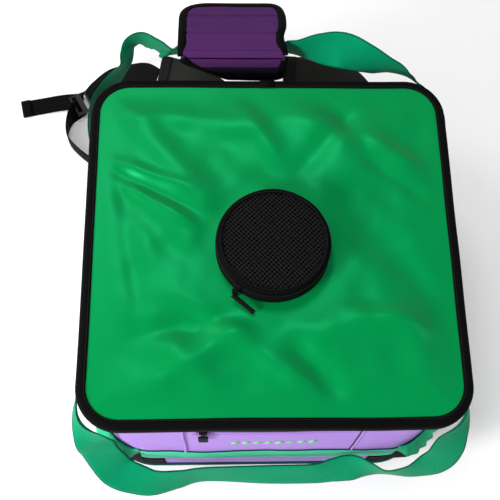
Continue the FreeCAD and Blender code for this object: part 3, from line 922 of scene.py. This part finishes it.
def make_grip():
    """The wrap in two parts: the flap that hangs in front, and the rest, which folds open to the rear."""
    whole = grip_path()
    parts = (("grip front flap pad", whole[:4], True, 10 * MM, "grip painted shade", ["grip_front_flap"]),
             ("grip wrap pad", whole[3:], False, 26 * MM, "grip", ["grip_base", "grip_rear_flap"]))
    for name, line, front, corner, material, nodes in parts:
        path = resample(line, 1.5 * MM)
        top = pad_surface(path, front, corner, 1)
        low = pad_surface(path, front, corner, -1)
        pad = pad_shell(name, top, low, material)
        # the flap's faces above 0.243 m take the purple grip cloth; the lower ones keep the darker copy,
        # which is painted shade
        if front:
            pad.data.materials.append(M["grip"])
            for face in pad.data.polygons:
                face.material_index = int(face.center.z > 0.243)
        bind = grip_binding(name + " binding", path, top, low, front)
        thread = grip_stitches(name + " stitches", path, top, front)
        done(pad, None, "grip_purple", *nodes)
        done(bind, None, "binding_black")
        done(thread, None, "grip_purple")
        for o in (pad, bind, thread):
            if front:
                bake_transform(o)
            else:
                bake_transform(o)


# ---- the lid ----
def square_grid(half, corner, n):
    """Points of a rounded square as a grid, from a square grid pulled in at its corners."""
    points = []
    flat = half - corner
    for i in range(n + 1):
        for j in range(n + 1):
            u, v = 2 * j / n - 1, 2 * i / n - 1
            m = max(abs(u), abs(v))
            x, y = u * half, v * half
            if m > 0:
                bx, by = u / m * half, v / m * half
                if abs(bx) > flat and abs(by) > flat:
                    dx, dy = abs(bx) - flat, abs(by) - flat
                    d = math.hypot(dx, dy)
                    x = math.copysign(flat + dx / d * corner, bx) * m
                    y = math.copysign(flat + dy / d * corner, by) * m
            points.append((x, y))
    return points


POUCH_Y = (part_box("pouch_base")[0].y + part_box("pouch_base")[1].y) / 2

# soft folds in the lid's cover: two ends, height and half width, all in millimetres
FOLDS = [
    (-150, 150, -60, 40, 1.1, 16), (-160, 60, -90, -20, -0.9, 14), (20, 160, 150, 60, 1.2, 20),
    (60, 60, 160, -60, -0.8, 18), (-150, -60, -60, -150, 0.9, 16), (20, -110, 60, -160, -1.4, 12),
    (40, -100, 140, -80, 1.1, 14), (-60, 120, 20, 60, -0.7, 18), (-20, -90, -110, -120, 0.8, 15),
    (90, -20, 150, -130, 0.9, 18), (-165, 110, -130, -90, -0.8, 12), (60, 160, 110, 100, -0.8, 12),
    (-168, 92, -90, 60, 1.0, 7), (-160, 78, -80, 34, -0.9, 7), (-150, 62, -84, 20, 0.8, 6),
    (100, 120, 168, 76, 1.0, 10), (96, 96, 160, 48, -0.9, 9), (-80, -66, 30, -150, 1.2, 13),
    (-40, -78, -120, -96, -1.1, 11), (70, -76, 160, -96, 1.0, 12), (-150, 150, -20, 130, 0.8, 14),
    (10, 88, -30, 158, 0.9, 11), (30, 80, 90, 150, -0.8, 12), (-120, -150, -40, -100, 0.9, 12),
]


def fold_height(x, y):
    total = 0.0
    for x0, y0, x1, y1, high, wide in FOLDS:
        ax, ay, bx, by = x0 * MM, y0 * MM, x1 * MM, y1 * MM
        dx, dy = bx - ax, by - ay
        t = ((x - ax) * dx + (y - ay) * dy) / (dx * dx + dy * dy)
        if t < -0.3 or t > 1.3:
            continue
        away = abs((x - ax) * dy - (y - ay) * dx) / math.hypot(dx, dy)
        ends = smooth_step(-0.3, 0.2, t) * (1 - smooth_step(0.8, 1.3, t))
        total += 3.6 * high * MM * ends * math.exp(-(away / (wide * MM)) ** 2)
    return total


def lid_height(x, y):
    edge = (LID_HALF - BINDING - max(abs(x), abs(y))) / (60 * MM)
    inner = smooth_step(0, 0.7, min(1.0, max(0.0, edge)))
    p = (x, y, 0)
    soft = 0.0
    for high, scale, seed in ((4.0, 8, 1.7), (2.6, 19, 5.3), (0.8, 45, 2.1)):
        soft += high * MM * ball_noise(p, scale, seed)
    clear = smooth_step(58 * MM, 92 * MM, math.hypot(x, y - POUCH_Y))
    lowest = LID_HIGH.z - 2.8 * MM
    above = 2.1 * MM + inner * (1.9 * MM + clear * (soft + fold_height(x, y)))
    return lowest + (above + math.sqrt(above * above + MM * MM)) / 2


def rim_path(half, corner, count, wobble=0.0):
    path = []
    length = rim_length(half, corner)
    for i in range(count):
        x, y, nx, ny = rim(half, corner, length * (i / count - 0.5))
        wave = wobble * ball_noise((x, y, 0), 14, 9.2)
        path.append(Vector((x + nx * wave, y + ny * wave, 0)))
    return path


def make_lid():
    n = 150
    half = LID_HALF - BINDING + 3 * MM
    points = square_grid(half, LID_CORNER - BINDING + 3 * MM, n)
    verts = [(x, y, lid_height(x, y)) for x, y in points]
    o = piece("lid cover", verts, grid_faces(n + 1, n + 1), "lid", points)
    thicken(o, 1.2 * MM)
    done(o, "lid", "lid_green", "lid_panel")
    under = LID_LOW.z + 0.4 * MM
    verts = [(x, y, under + 0.5 * MM * ball_noise((x, y, 0), 20, 4.4)) for x, y in points]
    o = piece("lid lining cloth", verts, grid_faces(n + 1, n + 1), "lining", points)
    thicken(o, 0.8 * MM, 1.0)
    done(o, "lid", "lining_grey", "lid_lining")
    w = BINDING / 2
    top, low = LID_HIGH.z, LID_LOW.z
    profile = (from_mm([(-2, 0), (0, 2.5)], w, low) + [(w + 0.3 * MM, (top + low) / 2)]
               + from_mm([(0, -3), (-1.2, -0.9), (-3, 0.4)], w, top) + [(0, top + 0.7 * MM)]
               + from_mm([(1, 0.6), (-0.3, 0), (0, -1.8)], -w, top) + [(-w, low)])
    path = rim_path(LID_HALF - w, LID_CORNER - w, 400, 0.8 * MM)
    o = sweep("lid binding tape", path, profile, "binding", closed=True)
    done(o, "lid", "binding_black", "lid_binding")
    line = rim_path(LID_HALF - BINDING + 1.6 * MM, LID_CORNER - BINDING + 1.6 * MM, 400)
    line = [Vector((p.x, p.y, top + 0.6 * MM)) for p in line]
    o = stitches("lid binding stitches", line, [Vector((0, 0, 1))] * len(line))
    done(o, "lid", "binding_black")
    # where the binding's two ends overlap, at the middle of the rear
    start = LID_HALF - BINDING - 0.3 * MM
    join_path = [Vector((-1 * MM, start + k * MM, top + 0.75 * MM)) for k in range(10)]
    profile = from_mm([(-8, -0.3), (8, -0.3), (8, 0.3), (-8, 0.3)])
    done(sweep("lid binding join", join_path, profile, "binding"), "lid", "binding_black")


# ---- the body ----
def make_walls():
    quarter = WALL_RIM / 4
    front_edge = CORNER_END - 6 * MM
    rear_edge = 2 * quarter - CORNER_START - WALL_CORNER * math.pi / 4
    low = 4 * MM
    slot = (-76 * MM, 76 * MM, 194 * MM, 204 * MM)
    panels = (
        ("front panel cloth", -front_edge, front_edge, "lavender", "body_lavender", "front_panel"),
        ("right panel cloth", front_edge, rear_edge, "purple", "body_purple", "right_panel"),
        ("rear panel cloth", rear_edge, WALL_RIM - rear_edge, "purple", "body_purple", "rear_panel"),
        ("left panel cloth", -rear_edge, -front_edge, "purple", "body_purple", "left_panel"),
    )
    for name, s0, s1, material, colour, node in panels:
        hole = slot if node == "front_panel" else None
        o = wall_sheet(name, s0, s1, low, WALL_TOP, material, hole=hole)
        area = (s1 - s0) * (WALL_TOP - low)
        if hole:
            area -= (slot[1] - slot[0]) * (slot[3] - slot[2])
        done(o, "bag", colour, node)
    # piped seams where the four panels meet
    tubes = []
    for s in (-front_edge, front_edge, rear_edge, -rear_edge):
        tubes.append(wall_tube("seam", [(s, z * MM) for z in range(6, 224, 4)], 1.3 * MM, 0.6 * MM, "navy"))
    done(join("corner seam piping", tubes), "bag", "body_purple")


def wall_tube(name, points, radius, out, material):
    path, ups = [], []
    for s, z in points:
        path.append(on_wall(s, z, out + bulge(s, z)))
        ups.append(wall_normal(s))
    return sweep(name, path, circle(radius), material, ups=ups)


def pocket_seam(s, radius, out, material, wobble=0.0):
    line = [(s + wobble * math.sin(z / 17), z * MM) for z in range(100, 224, 3)]
    return wall_tube("seam", line, radius, out, material)


def make_front():
    """The front pocket: zip, seams, topstitching and a plain printed mark."""
    left_seam, right_seam = -0.090, 0.087
    seams = [pocket_seam(left_seam, 1.5 * MM, 0.7 * MM, "lavender", 0.5 * MM),
             pocket_seam(left_seam + 3 * MM, 0.5 * MM, 0.1 * MM, "lilac thread"),
             pocket_seam(right_seam + 2.2 * MM, 1.2 * MM, 0.3 * MM, "lavender"),
             pocket_seam(right_seam, 0.7 * MM, 0.2 * MM, "thread")]
    done(join("front pocket seams", seams), "bag", "body_lavender")
    lines = []
    for z in (0.1885, 0.2095):
        lines.append(wall_stitches("line", [(-0.080, z), (0.080, z)], 0.1 * MM, "lilac thread",
                                   pitch=3.4 * MM, length=2.2 * MM, radius=0.35 * MM))
    done(join("front pocket stitches", lines), "bag", "body_lavender")
    tapes = []
    for z0, z1 in ((0.1885, 0.1982), (0.2000, 0.2085)):
        tapes.append(wall_sheet("tape", -0.079, 0.079, z0, z1, "zip", -1.6 * MM, 3 * MM, thick=0.8 * MM))
    done(join("front pocket zip tapes", tapes), "bag", "zip_tape", "pocket_zip_tapes")
    middle = 0.1991
    path = []
    for k in range(53):
        s = -0.078 + 0.003 * k
        path.append(on_wall(s, middle, bulge(s, middle) - 0.8 * MM))
    teeth = zip_teeth("front pocket zip teeth", path, [Vector((0, -1, 0))] * len(path))
    done(teeth, "bag", "zip_tape")
    low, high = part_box("pocket_back")
    rows, cols = 46, 43
    verts, uvs = [], []
    for i in range(rows):
        z = low.z + (high.z - low.z) * i / (rows - 1)
        for j in range(cols):
            x = low.x + (high.x - low.x) * j / (cols - 1)
            verts.append((x, low.y + 0.4 * MM + 0.4 * MM * ball_noise((x, 0, z), 30, 6.6), z))
            uvs.append((x, z))
    o = piece("front pocket lining cloth", verts, grid_faces(rows, cols), "lining", uvs)
    thicken(o, 0.6 * MM)
    done(o, "bag", "lining_grey", "pocket_back")
    # a row of plain ovals stands for the printed mark
    marks = []
    for k in range(8):
        s = -0.038 + 0.0115 * k
        points = [(s - 4.3 * MM, 0.147), (s + 4.3 * MM, 0.150)]
        marks.append(flat_mark("oval" + str(k), points, (13 + 3 * math.sin(k * 2.1)) * MM))
    done(join("front pocket printed ovals", marks), "bag", "band_teal")


def flat_mark(name, points, wide):
    """A flat printed shape on the front wall."""
    (s0, z0), (s1, z1) = points
    n = 8
    rows = []
    for k in range(n + 1):
        t = k / n
        s, z = s0 + (s1 - s0) * t, z0 + (z1 - z0) * t
        half = wide / 2 * (1 - 0.85 * abs(2 * t - 1) ** 3)
        rows += [on_wall(s, z - half, bulge(s, z) + 0.12 * MM), on_wall(s, z + half, bulge(s, z) + 0.12 * MM)]
    o = piece(name, rows, grid_faces(n + 1, 2), "mark")
    thicken(o, 0.25 * MM)
    return o


def make_band():
    z0, z1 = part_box("front_band")[0].z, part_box("front_band")[1].z
    end = POCKET_START + 2 * MM
    o = wall_sheet("front band webbing", -end, end, z0, z1, "band", 1.5 * MM, 3 * MM, thick=1.3 * MM)
    cloth(o, z1 - z0, "stretched", ["front_panel"])
    done(o, "bag", "band_teal", "front_band")
    edges = [wall_tube("edge", [(-end + 4 * MM * k, z) for k in range(int(2 * end / (4 * MM)) + 1)], 0.7 * MM,
                       0.8 * MM, "navy") for z in (z0, z1)]
    done(join("front band edges", edges), "bag", "band_teal")


POCKET_START = 0.140


def pocket_ends(s):
    """0 where a side pocket is sewn down at its ends, 1 over the rest of it."""
    front, rear = POCKET_START, WALL_RIM / 4 + 0.128
    s = abs(s)
    return smooth_step(0, 0.012, s - front) * smooth_step(0, 0.020, rear - s)


def pleat(s):
    """The saw-tooth gathers that the elastic makes, strongest at the hem."""
    warped = s + 2.2 * MM * ball_noise((s, 0.3, 0), 60, 8.1)
    f = (warped / (9.5 * MM)) % 1.0
    tooth = f / 0.62 if f < 0.62 else (1 - f) / 0.38
    tall = 0.75 + 0.5 * ball_noise((s, 0, 0), 45, 2.9)
    return (tooth - 0.5) * tall


def pocket_shape(s, z):
    t = max(0.0, (z - 12 * MM) / (92 * MM))
    ends = pocket_ends(s)
    seam = 0.826
    if t < seam:
        full = 9.0 * MM * math.sin(math.pi / 2 * t / seam) ** 0.8
        ripple = smooth_step(0.35, seam, t)
    else:
        u = (t - seam) / (1 - seam)
        full = 9.0 * MM * (1 - u) + 0.8 * MM * math.sin(math.pi * u)
        ripple = 1 - 0.9 * u
    slack = 0.8 * MM * ball_noise(on_wall(s, z, 0), 26, 1.1)
    gather = 4.4 * MM * ripple * (0.5 + pleat(s))
    return bulge(s, z) + 1.6 * MM + ends * (0.4 * MM + full + gather + slack * t)


def make_side_pockets():
    for side, sign in (("left", -1), ("right", 1)):
        s0, s1 = POCKET_START, WALL_RIM / 4 + 0.128
        if sign < 0:
            s0, s1 = -s1, -s0
        hem_low = 88 * MM
        o = wall_sheet(side + " side pocket cloth", s0, s1, 12 * MM, hem_low, "black", 0, 2.4 * MM,
                       pocket_shape)
        cloth(o, hem_low - 12 * MM, "gathered", [side + "_pocket_hem_elastic", "corner_patch_cloth"])
        done(o, "bag", "pocket_black", side + "_side_pocket")
        o = wall_sheet(side + " pocket hem elastic", s0, s1, hem_low - 1 * MM, 104 * MM, "hem", 0.5 * MM,
                       1.3 * MM, pocket_shape, 1.8 * MM)
        cloth(o, 19 * MM, "gathered", [side + "_side_pocket_cloth"])
        done(o, "bag", "hem_green", side + "_pocket_hem")


def make_lower_body():
    path = rim_path(WALL_HALF + 0.9 * MM, WALL_CORNER + 0.9 * MM, 300)
    path = [Vector((p.x, p.y, 5 * MM)) for p in path]
    done(sweep("bottom piping cord", path, circle(2.4 * MM, 10), "piping", closed=True), "bag", "band_teal",
         "bottom_piping")
    patches = []
    for k in range(4):
        middle = WALL_RIM / 8 + k * WALL_RIM / 4
        half = (WALL_RIM / 8) - 0.116
        patches.append(wall_sheet("patch", middle - half, middle + half, 7 * MM, 46 * MM, "black", 1 * MM,
                                  thick=1 * MM))
    o = join("corner patch cloth", patches)
    cloth(o, 39 * MM, "stretched", ["left_foam", "right_foam"])
    done(o, "bag", "pocket_black", "corner_patches")


def make_zip():
    end = WALL_RIM / 4 + 0.120
    split = 228.6 * MM
    for name, z0, z1, body, node in (("lower", WALL_TOP - 3 * MM, split - 1.4 * MM, "bag", "lower_zip_tape"),
                                     ("upper", split + 1.4 * MM, 233 * MM, "lid", "upper_zip_tape")):
        o = wall_sheet(name + " zip tape cloth", -end, end, z0, z1, "zip", 0.5 * MM, 3 * MM, flat_wall,
                       1 * MM)
        done(o, body, "zip_tape", node)
    path, normals = [], []
    n = 400
    for k in range(n + 1):
        s = -end + 2 * end * k / n
        path.append(on_wall(s, split, 0.2 * MM))
        normals.append(wall_normal(s))
    for name, body, side in (("lower zip teeth", "bag", 1), ("upper zip teeth", "lid", -1)):
        o = blocks(name, path, normals, 2.0 * MM, (1.1 * MM, 2.0 * MM, 1.5 * MM), "coil",
                   shift=1.0 * MM * (side > 0), offset=side * 0.9 * MM, lift=0.4 * MM)
        done(o, body, "zip_tape")
    half_way = WALL_RIM / 2
    low, high = WALL_TOP - 3 * MM, 234 * MM
    o = wall_sheet("hinge strip cloth", half_way - 0.118, half_way + 0.118, low, high, "black", 0.4 * MM,
                   2 * MM, flat_wall, 1 * MM)
    cloth(o, high - low, "stretched", ["rear_panel"])
    done(o, None, "binding_black", "hinge_strip")
    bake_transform(o)


# ---- the inside ----
def make_inside():
    inset = 13 * MM
    half, corner = WALL_HALF - inset, WALL_CORNER - inset
    length = rim_length(half, corner)
    rows, cols = 40, 220
    verts, uvs = [], []
    for i in range(rows):
        z = 9 * MM + (WALL_TOP - 9 * MM) * i / (rows - 1)
        for j in range(cols):
            s = length * j / cols
            x, y, nx, ny = rim(half, corner, s)
            wave = 0.9 * MM * ball_noise((x, y, z), 18, 6.2) * math.sin(math.pi * i / (rows - 1))
            verts.append((x - nx * wave, y - ny * wave, z))
            uvs.append((s, z))
    faces = grid_faces(rows, cols, False, True)
    n = 60
    start = len(verts)
    for x, y in square_grid(half, corner, n):
        verts.append((x, y, 9 * MM + 0.5 * MM * ball_noise((x, y, 0), 20, 3.3)))
        uvs.append((x, y))
    faces += [tuple(start + k for k in f) for f in grid_faces(n + 1, n + 1)]
    o = piece("body lining cloth", verts, faces, "lining", uvs)
    thicken(o, 0.8 * MM, 0.0)
    done(o, "bag", "lining_grey", "body_lining")
    low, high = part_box("ball_ring")
    outer, inner = high.x, 87 * MM
    profile = ([(outer, low.z)] + from_mm([(0, -6), (-2, -2), (-7, 0)], outer, high.z)
               + from_mm([(7, 0), (1, -2), (-2, -7)], inner, high.z) + [(inner - 13 * MM, low.z)])
    lathe("ball ring foam", profile, 0, "foam", "bag", "foam", "ball_ring")
    path = rim_path(WALL_HALF - 6 * MM, WALL_CORNER - 6 * MM, 300)
    path = [Vector((p.x, p.y, WALL_TOP)) for p in path]
    profile = from_mm([(7.2, -5), (7.2, -0.5), (6.2, 0.8), (0, 1.3), (-6.2, 0.8), (-7.2, -0.5), (-7.2, -12),
                       (-6.2, -12), (-6.2, -1), (6.2, -1), (6.2, -5)])
    done(sweep("inner rim binding", path, profile, "binding", closed=True), "bag", "binding_black")


def lathe(name, profile, cy, material, body, slot, *nodes, ripple=None):
    """A closed profile of (radius, z) turned about an upright axis at x = 0 and y = cy."""
    verts, uvs = [], []
    turns = 120
    along = [sum(math.dist(profile[q], profile[q + 1]) for q in range(k)) for k in range(len(profile))]
    for i in range(turns):
        a = TAU * i / turns
        for (r, z), v in zip(profile, along):
            if ripple:
                r += ripple(a, r, z)
            verts.append((r * math.cos(a), cy + r * math.sin(a), z))
            uvs.append((a * profile[0][0], v))
    o = piece(name, verts, grid_faces(turns, len(profile), True, True), material, uvs)
    return done(o, body, slot, *nodes)


# ---- the round pouch on the lid ----
POUCH_LOW, POUCH_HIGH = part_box("pouch_base")
POUCH_R = POUCH_HIGH.x
POUCH_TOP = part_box("pouch_mesh")[1].z
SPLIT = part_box("pouch_upper_zip")[0].z


def pouch_wave(a, r, z):
    """How far the pouch's soft side stands out at the angle a."""
    return 1.3 * MM * ball_noise((r * math.cos(a), r * math.sin(a), z), 26, 5.1)


def pouch_ring(radius, z):
    """A line round the pouch and its outward directions."""
    n = 180
    path, normals = [], []
    for k in range(n + 1):
        a = TAU * k / n
        path.append(Vector((radius * math.cos(a), POUCH_Y + radius * math.sin(a), z)))
        normals.append(Vector((math.cos(a), math.sin(a), 0)))
    return path, normals


def make_pouch():
    r, base, top = POUCH_R, POUCH_LOW.z, POUCH_TOP
    foot = (from_mm([(0.5, 0.4)], 0, base) + from_mm([(0.8, 0.3), (1.2, 1.2), (0, 2.4)], r, base)
            + from_mm([(0.5, 2.2)], 0, base))
    lathe("pouch foot cloth", foot, POUCH_Y, "binding", "lid", "pocket_black", "pouch_base")
    wall = (from_mm([(-0.4, 1), (0.7, 4), (1, 8), (0.5, 12)], r, base)
            + from_mm([(-0.2, -3.6), (-1.4, -3.6)], r, SPLIT) + from_mm([(-1, 8), (-2, 1)], r, base))
    lathe("pouch wall cloth", wall, POUCH_Y, "black", "lid", "pocket_black", "pouch_wall", ripple=pouch_wave)
    lower = from_mm([(-0.2, -4.2), (0, -3), (-0.2, -0.9), (-1.6, -0.9), (-1.6, -4.2)], r, SPLIT)
    lathe("pouch lower zip tape", lower, POUCH_Y, "zip", "lid", "zip_tape", "pouch_lower_zip")
    upper = from_mm([(-0.2, 0.9), (-0.1, 2.4), (-0.8, 3.4), (-2.4, 3.2), (-1.8, 0.9)], r, SPLIT)
    lathe("pouch upper zip tape", upper, POUCH_Y, "zip", "pouch_top", "zip_tape", "pouch_upper_zip")
    path, normals = pouch_ring(r - 0.4 * MM, SPLIT)
    for name, body, side in (("pouch lower teeth", "lid", 1), ("pouch upper teeth", "pouch_top", -1)):
        o = blocks(name, path, normals, 1.6 * MM, (0.9 * MM, 1.5 * MM, 1.3 * MM), "coil",
                   shift=0.8 * MM * (side > 0), offset=side * 0.6 * MM, lift=0.3 * MM)
        done(o, body, "zip_tape")
    bind = (from_mm([(-1.6, 2.6), (-0.7, 4.2)], r, SPLIT)
            + from_mm([(-1.6, -1), (-3.4, -0.1), (-5.4, -0.4), (-6.2, -1.4), (-5.6, -3)], r, top)
            + from_mm([(-3, 2.6)], r, SPLIT))
    lathe("pouch edge binding", bind, POUCH_Y, "binding", "pouch_top", "binding_black", "pouch_binding",
          ripple=pouch_wave)
    line, _ = pouch_ring(r - 4.6 * MM, top)
    o = stitches("pouch edge stitches", line, [Vector((0, 0, 1))] * len(line))
    done(o, "pouch_top", "binding_black")
    make_mesh_top(r - 5.2 * MM, top - 1.5 * MM)


def mesh_cell(x, y):
    """A place in the mesh's diagonal grid, in cells, and its squared distance from the nearest hole."""
    pitch = 4.5 * MM
    u, v = (x + y) / pitch, (x - y) / (pitch * 1.15)
    return u, v, (u - round(u)) ** 2 + (v - round(v)) ** 2


def make_mesh_top(radius, z):
    """The pouch's knitted spacer mesh: a low dome with a diagonal grid of holes pressed into it."""
    step = 0.62 * MM
    n = int(radius / step)
    index, verts, uvs = {}, [], []
    for i in range(-n, n + 1):
        for j in range(-n, n + 1):
            x, y = j * step, i * step
            d = math.hypot(x, y)
            if d > radius:
                continue
            u, v, off = mesh_cell(x, y)
            hole = 1.5 * MM * math.exp(-off / 0.075)
            rib = 0.075 * MM * math.cos(TAU * u) * math.cos(TAU * v)
            dome = 1.6 * MM * (1 - (d / radius) ** 2)
            slack = 0.9 * MM * ball_noise((x, y, 0), 30, 4.2)
            index[(i, j)] = len(verts)
            verts.append((x, POUCH_Y + y, z + dome + slack - hole + rib))
            uvs.append((x, y))
    faces, dark = [], []
    for (i, j), a in index.items():
        b, c, d = index.get((i, j + 1)), index.get((i + 1, j + 1)), index.get((i + 1, j))
        if b is not None and c is not None and d is not None:
            faces.append((a, b, c, d))
            dark.append(mesh_cell((j + 0.5) * step, (i + 0.5) * step)[2] < 0.11)
    o = piece("pouch mesh cloth", verts, faces, "mesh", uvs)
    # faces round each pressed hole get the near-black colour, painted shade standing in for seeing through
    # the mesh
    o.data.materials.append(M["mesh hole painted shade"])
    for face, hole in zip(o.data.polygons, dark):
        face.material_index = int(hole)
    thicken(o, 1.2 * MM)
    done(o, "pouch_top", "mesh_black", "pouch_mesh")


# ---- zip sliders' pulls ----
def make_pulls():
    """The pulls, the sliders and the buckle with rounded edges."""
    for node in ("main_pull_front", "main_pull_rear", "pocket_pull", "pouch_pull", "main_slider_front",
                 "main_slider_rear", "pocket_slider", "pouch_slider", "left_ladder_lock"):
        source = frame["nodes"][node]
        mesh = source.data.copy()
        mesh.transform(source.matrix_world)
        o = bpy.data.objects.new(node + " part", mesh)
        bpy.context.scene.collection.objects.link(o)
        mesh.materials.clear()
        mesh.materials.append(M["plastic" if "lock" in node else "slider"])
        weld = o.modifiers.new("weld", "WELD")
        weld.merge_threshold = 0.01 * MM
        flat = o.modifiers.new("flat", "DECIMATE")
        flat.decimate_type = "DISSOLVE"
        flat.angle_limit = math.radians(2)
        bevel = o.modifiers.new("bevel", "BEVEL")
        bevel.width = 0.45 * MM
        bevel.segments = 2
        bevel.limit_method = "ANGLE"
        apply_modifiers(o)
        for poly in o.data.polygons:
            poly.use_smooth = False
        bodies = [b for b, nodes in frame["record"]["behaviour"]["bodies"].items() if node in nodes]
        done(o, bodies[0], "buckle" if "lock" in node else "slider", node)


def make_pouch_tab():
    """The pouch's long pull, lying along the pouch's foot from its slider."""
    start = Vector((-0.0410, -0.0615, 0.2575))
    along = Vector((0.788, -0.616, -0.2)).normalized()
    path = [start + along * (k * 2.5 * MM) for k in range(12)]
    profile = [(-2.4 * MM, -0.9 * MM), (2.4 * MM, -0.9 * MM), (2.0 * MM, 0.9 * MM), (-2.0 * MM, 0.9 * MM)]
    o = sweep("pouch pull tab", path, profile, "slider", ups=[Vector((0, 0, 1))] * len(path))
    done(o, "pouch_zip_pull", "slider")


def finish_materials():
    """A detailed material on every CAD node that still shows, and on those inside."""
    looks = {"foam": "foam", "board": "board", "pocket_black": "black", "lining_grey": "lining",
             "zip_tape": "zip", "slider": "slider", "buckle": "plastic", "binding_black": "binding",
             "lid_green": "lid", "body_purple": "purple", "body_lavender": "lavender", "handle_green": "web",
             "band_teal": "band", "hem_green": "hem", "mesh_black": "mesh", "strap_grey": "strap",
             "web_black": "blackweb", "grip_purple": "grip"}
    for sub in frame["record"]["subparts"]:
        o = frame["nodes"][sub["node"]]
        for k in range(len(o.material_slots)):
            o.material_slots[k].material = M[looks[sub["material_slot"]]]


def camera():
    cam = bpy.data.cameras.new("camera")
    cam.sensor_width = 36.0
    cam.lens = 64.8
    # yaw is to the right of +Y, tilt is below level, and roll turns the top to the left
    yaw, tilt, roll = math.radians(5.404), math.radians(67.776), math.radians(4.869)
    look = Vector((math.sin(yaw) * math.cos(tilt), math.cos(yaw) * math.cos(tilt), -math.sin(tilt)))
    level = Vector((math.cos(yaw), -math.sin(yaw), 0))
    up = level.cross(look)
    right = level * math.cos(roll) + up * math.sin(roll)
    up = up * math.cos(roll) - level * math.sin(roll)
    m = Matrix((right, up, -look)).transposed().to_4x4()
    m.translation = Vector((-0.0550, -0.3509, 1.0841))
    o = bpy.data.objects.new("camera", cam)
    o.matrix_world = m
    bpy.context.scene.collection.objects.link(o)
    bpy.context.scene.camera = o


def area_light(name, place, target, size, power):
    light = bpy.data.lights.new(name, "AREA")
    light.size = size
    light.energy = power
    o = bpy.data.objects.new(name, light)
    o.location = place
    o.rotation_mode = "QUATERNION"
    o.rotation_quaternion = (Vector(target) - Vector(place)).to_track_quat("-Z", "Y")
    bpy.context.scene.collection.objects.link(o)


def studio():
    floor = piece("floor", [(-6, -6, 0), (6, -6, 0), (6, 6, 0), (-6, 6, 0)], [(0, 1, 2, 3)], "board")
    floor.data.materials[0] = shader("pale floor", (0.97, 0.97, 0.97), 0.9)[0]
    world = bpy.data.worlds.new("world")
    world.use_nodes = True
    world.node_tree.nodes["Background"].inputs["Color"].default_value = (1, 1, 1, 1)
    world.node_tree.nodes["Background"].inputs["Strength"].default_value = 0.55
    bpy.context.scene.world = world
    bpy.context.scene.view_settings.view_transform = "Standard"
    area_light("key", (-1.2, -0.85, 0.9), (0, 0, 0.15), 0.4, 30)
    area_light("left", (-1.5, 1.0, 0.8), (0, 0, 0.2), 0.6, 14)
    area_light("right", (1.5, -0.4, 1.5), (0, 0, 0.1), 0.9, 7)
    area_light("shine", (-0.35, 0.85, 1.9), (0, 0, 0.25), 0.45, 9)


camera()
studio()
finish_materials()
make_lid()
make_walls()
make_front()
make_band()
make_side_pockets()
make_lower_body()
make_zip()
make_inside()
make_pouch()
make_pulls()
make_pouch_tab()
make_handles()
make_shoulder_straps()
make_grip()
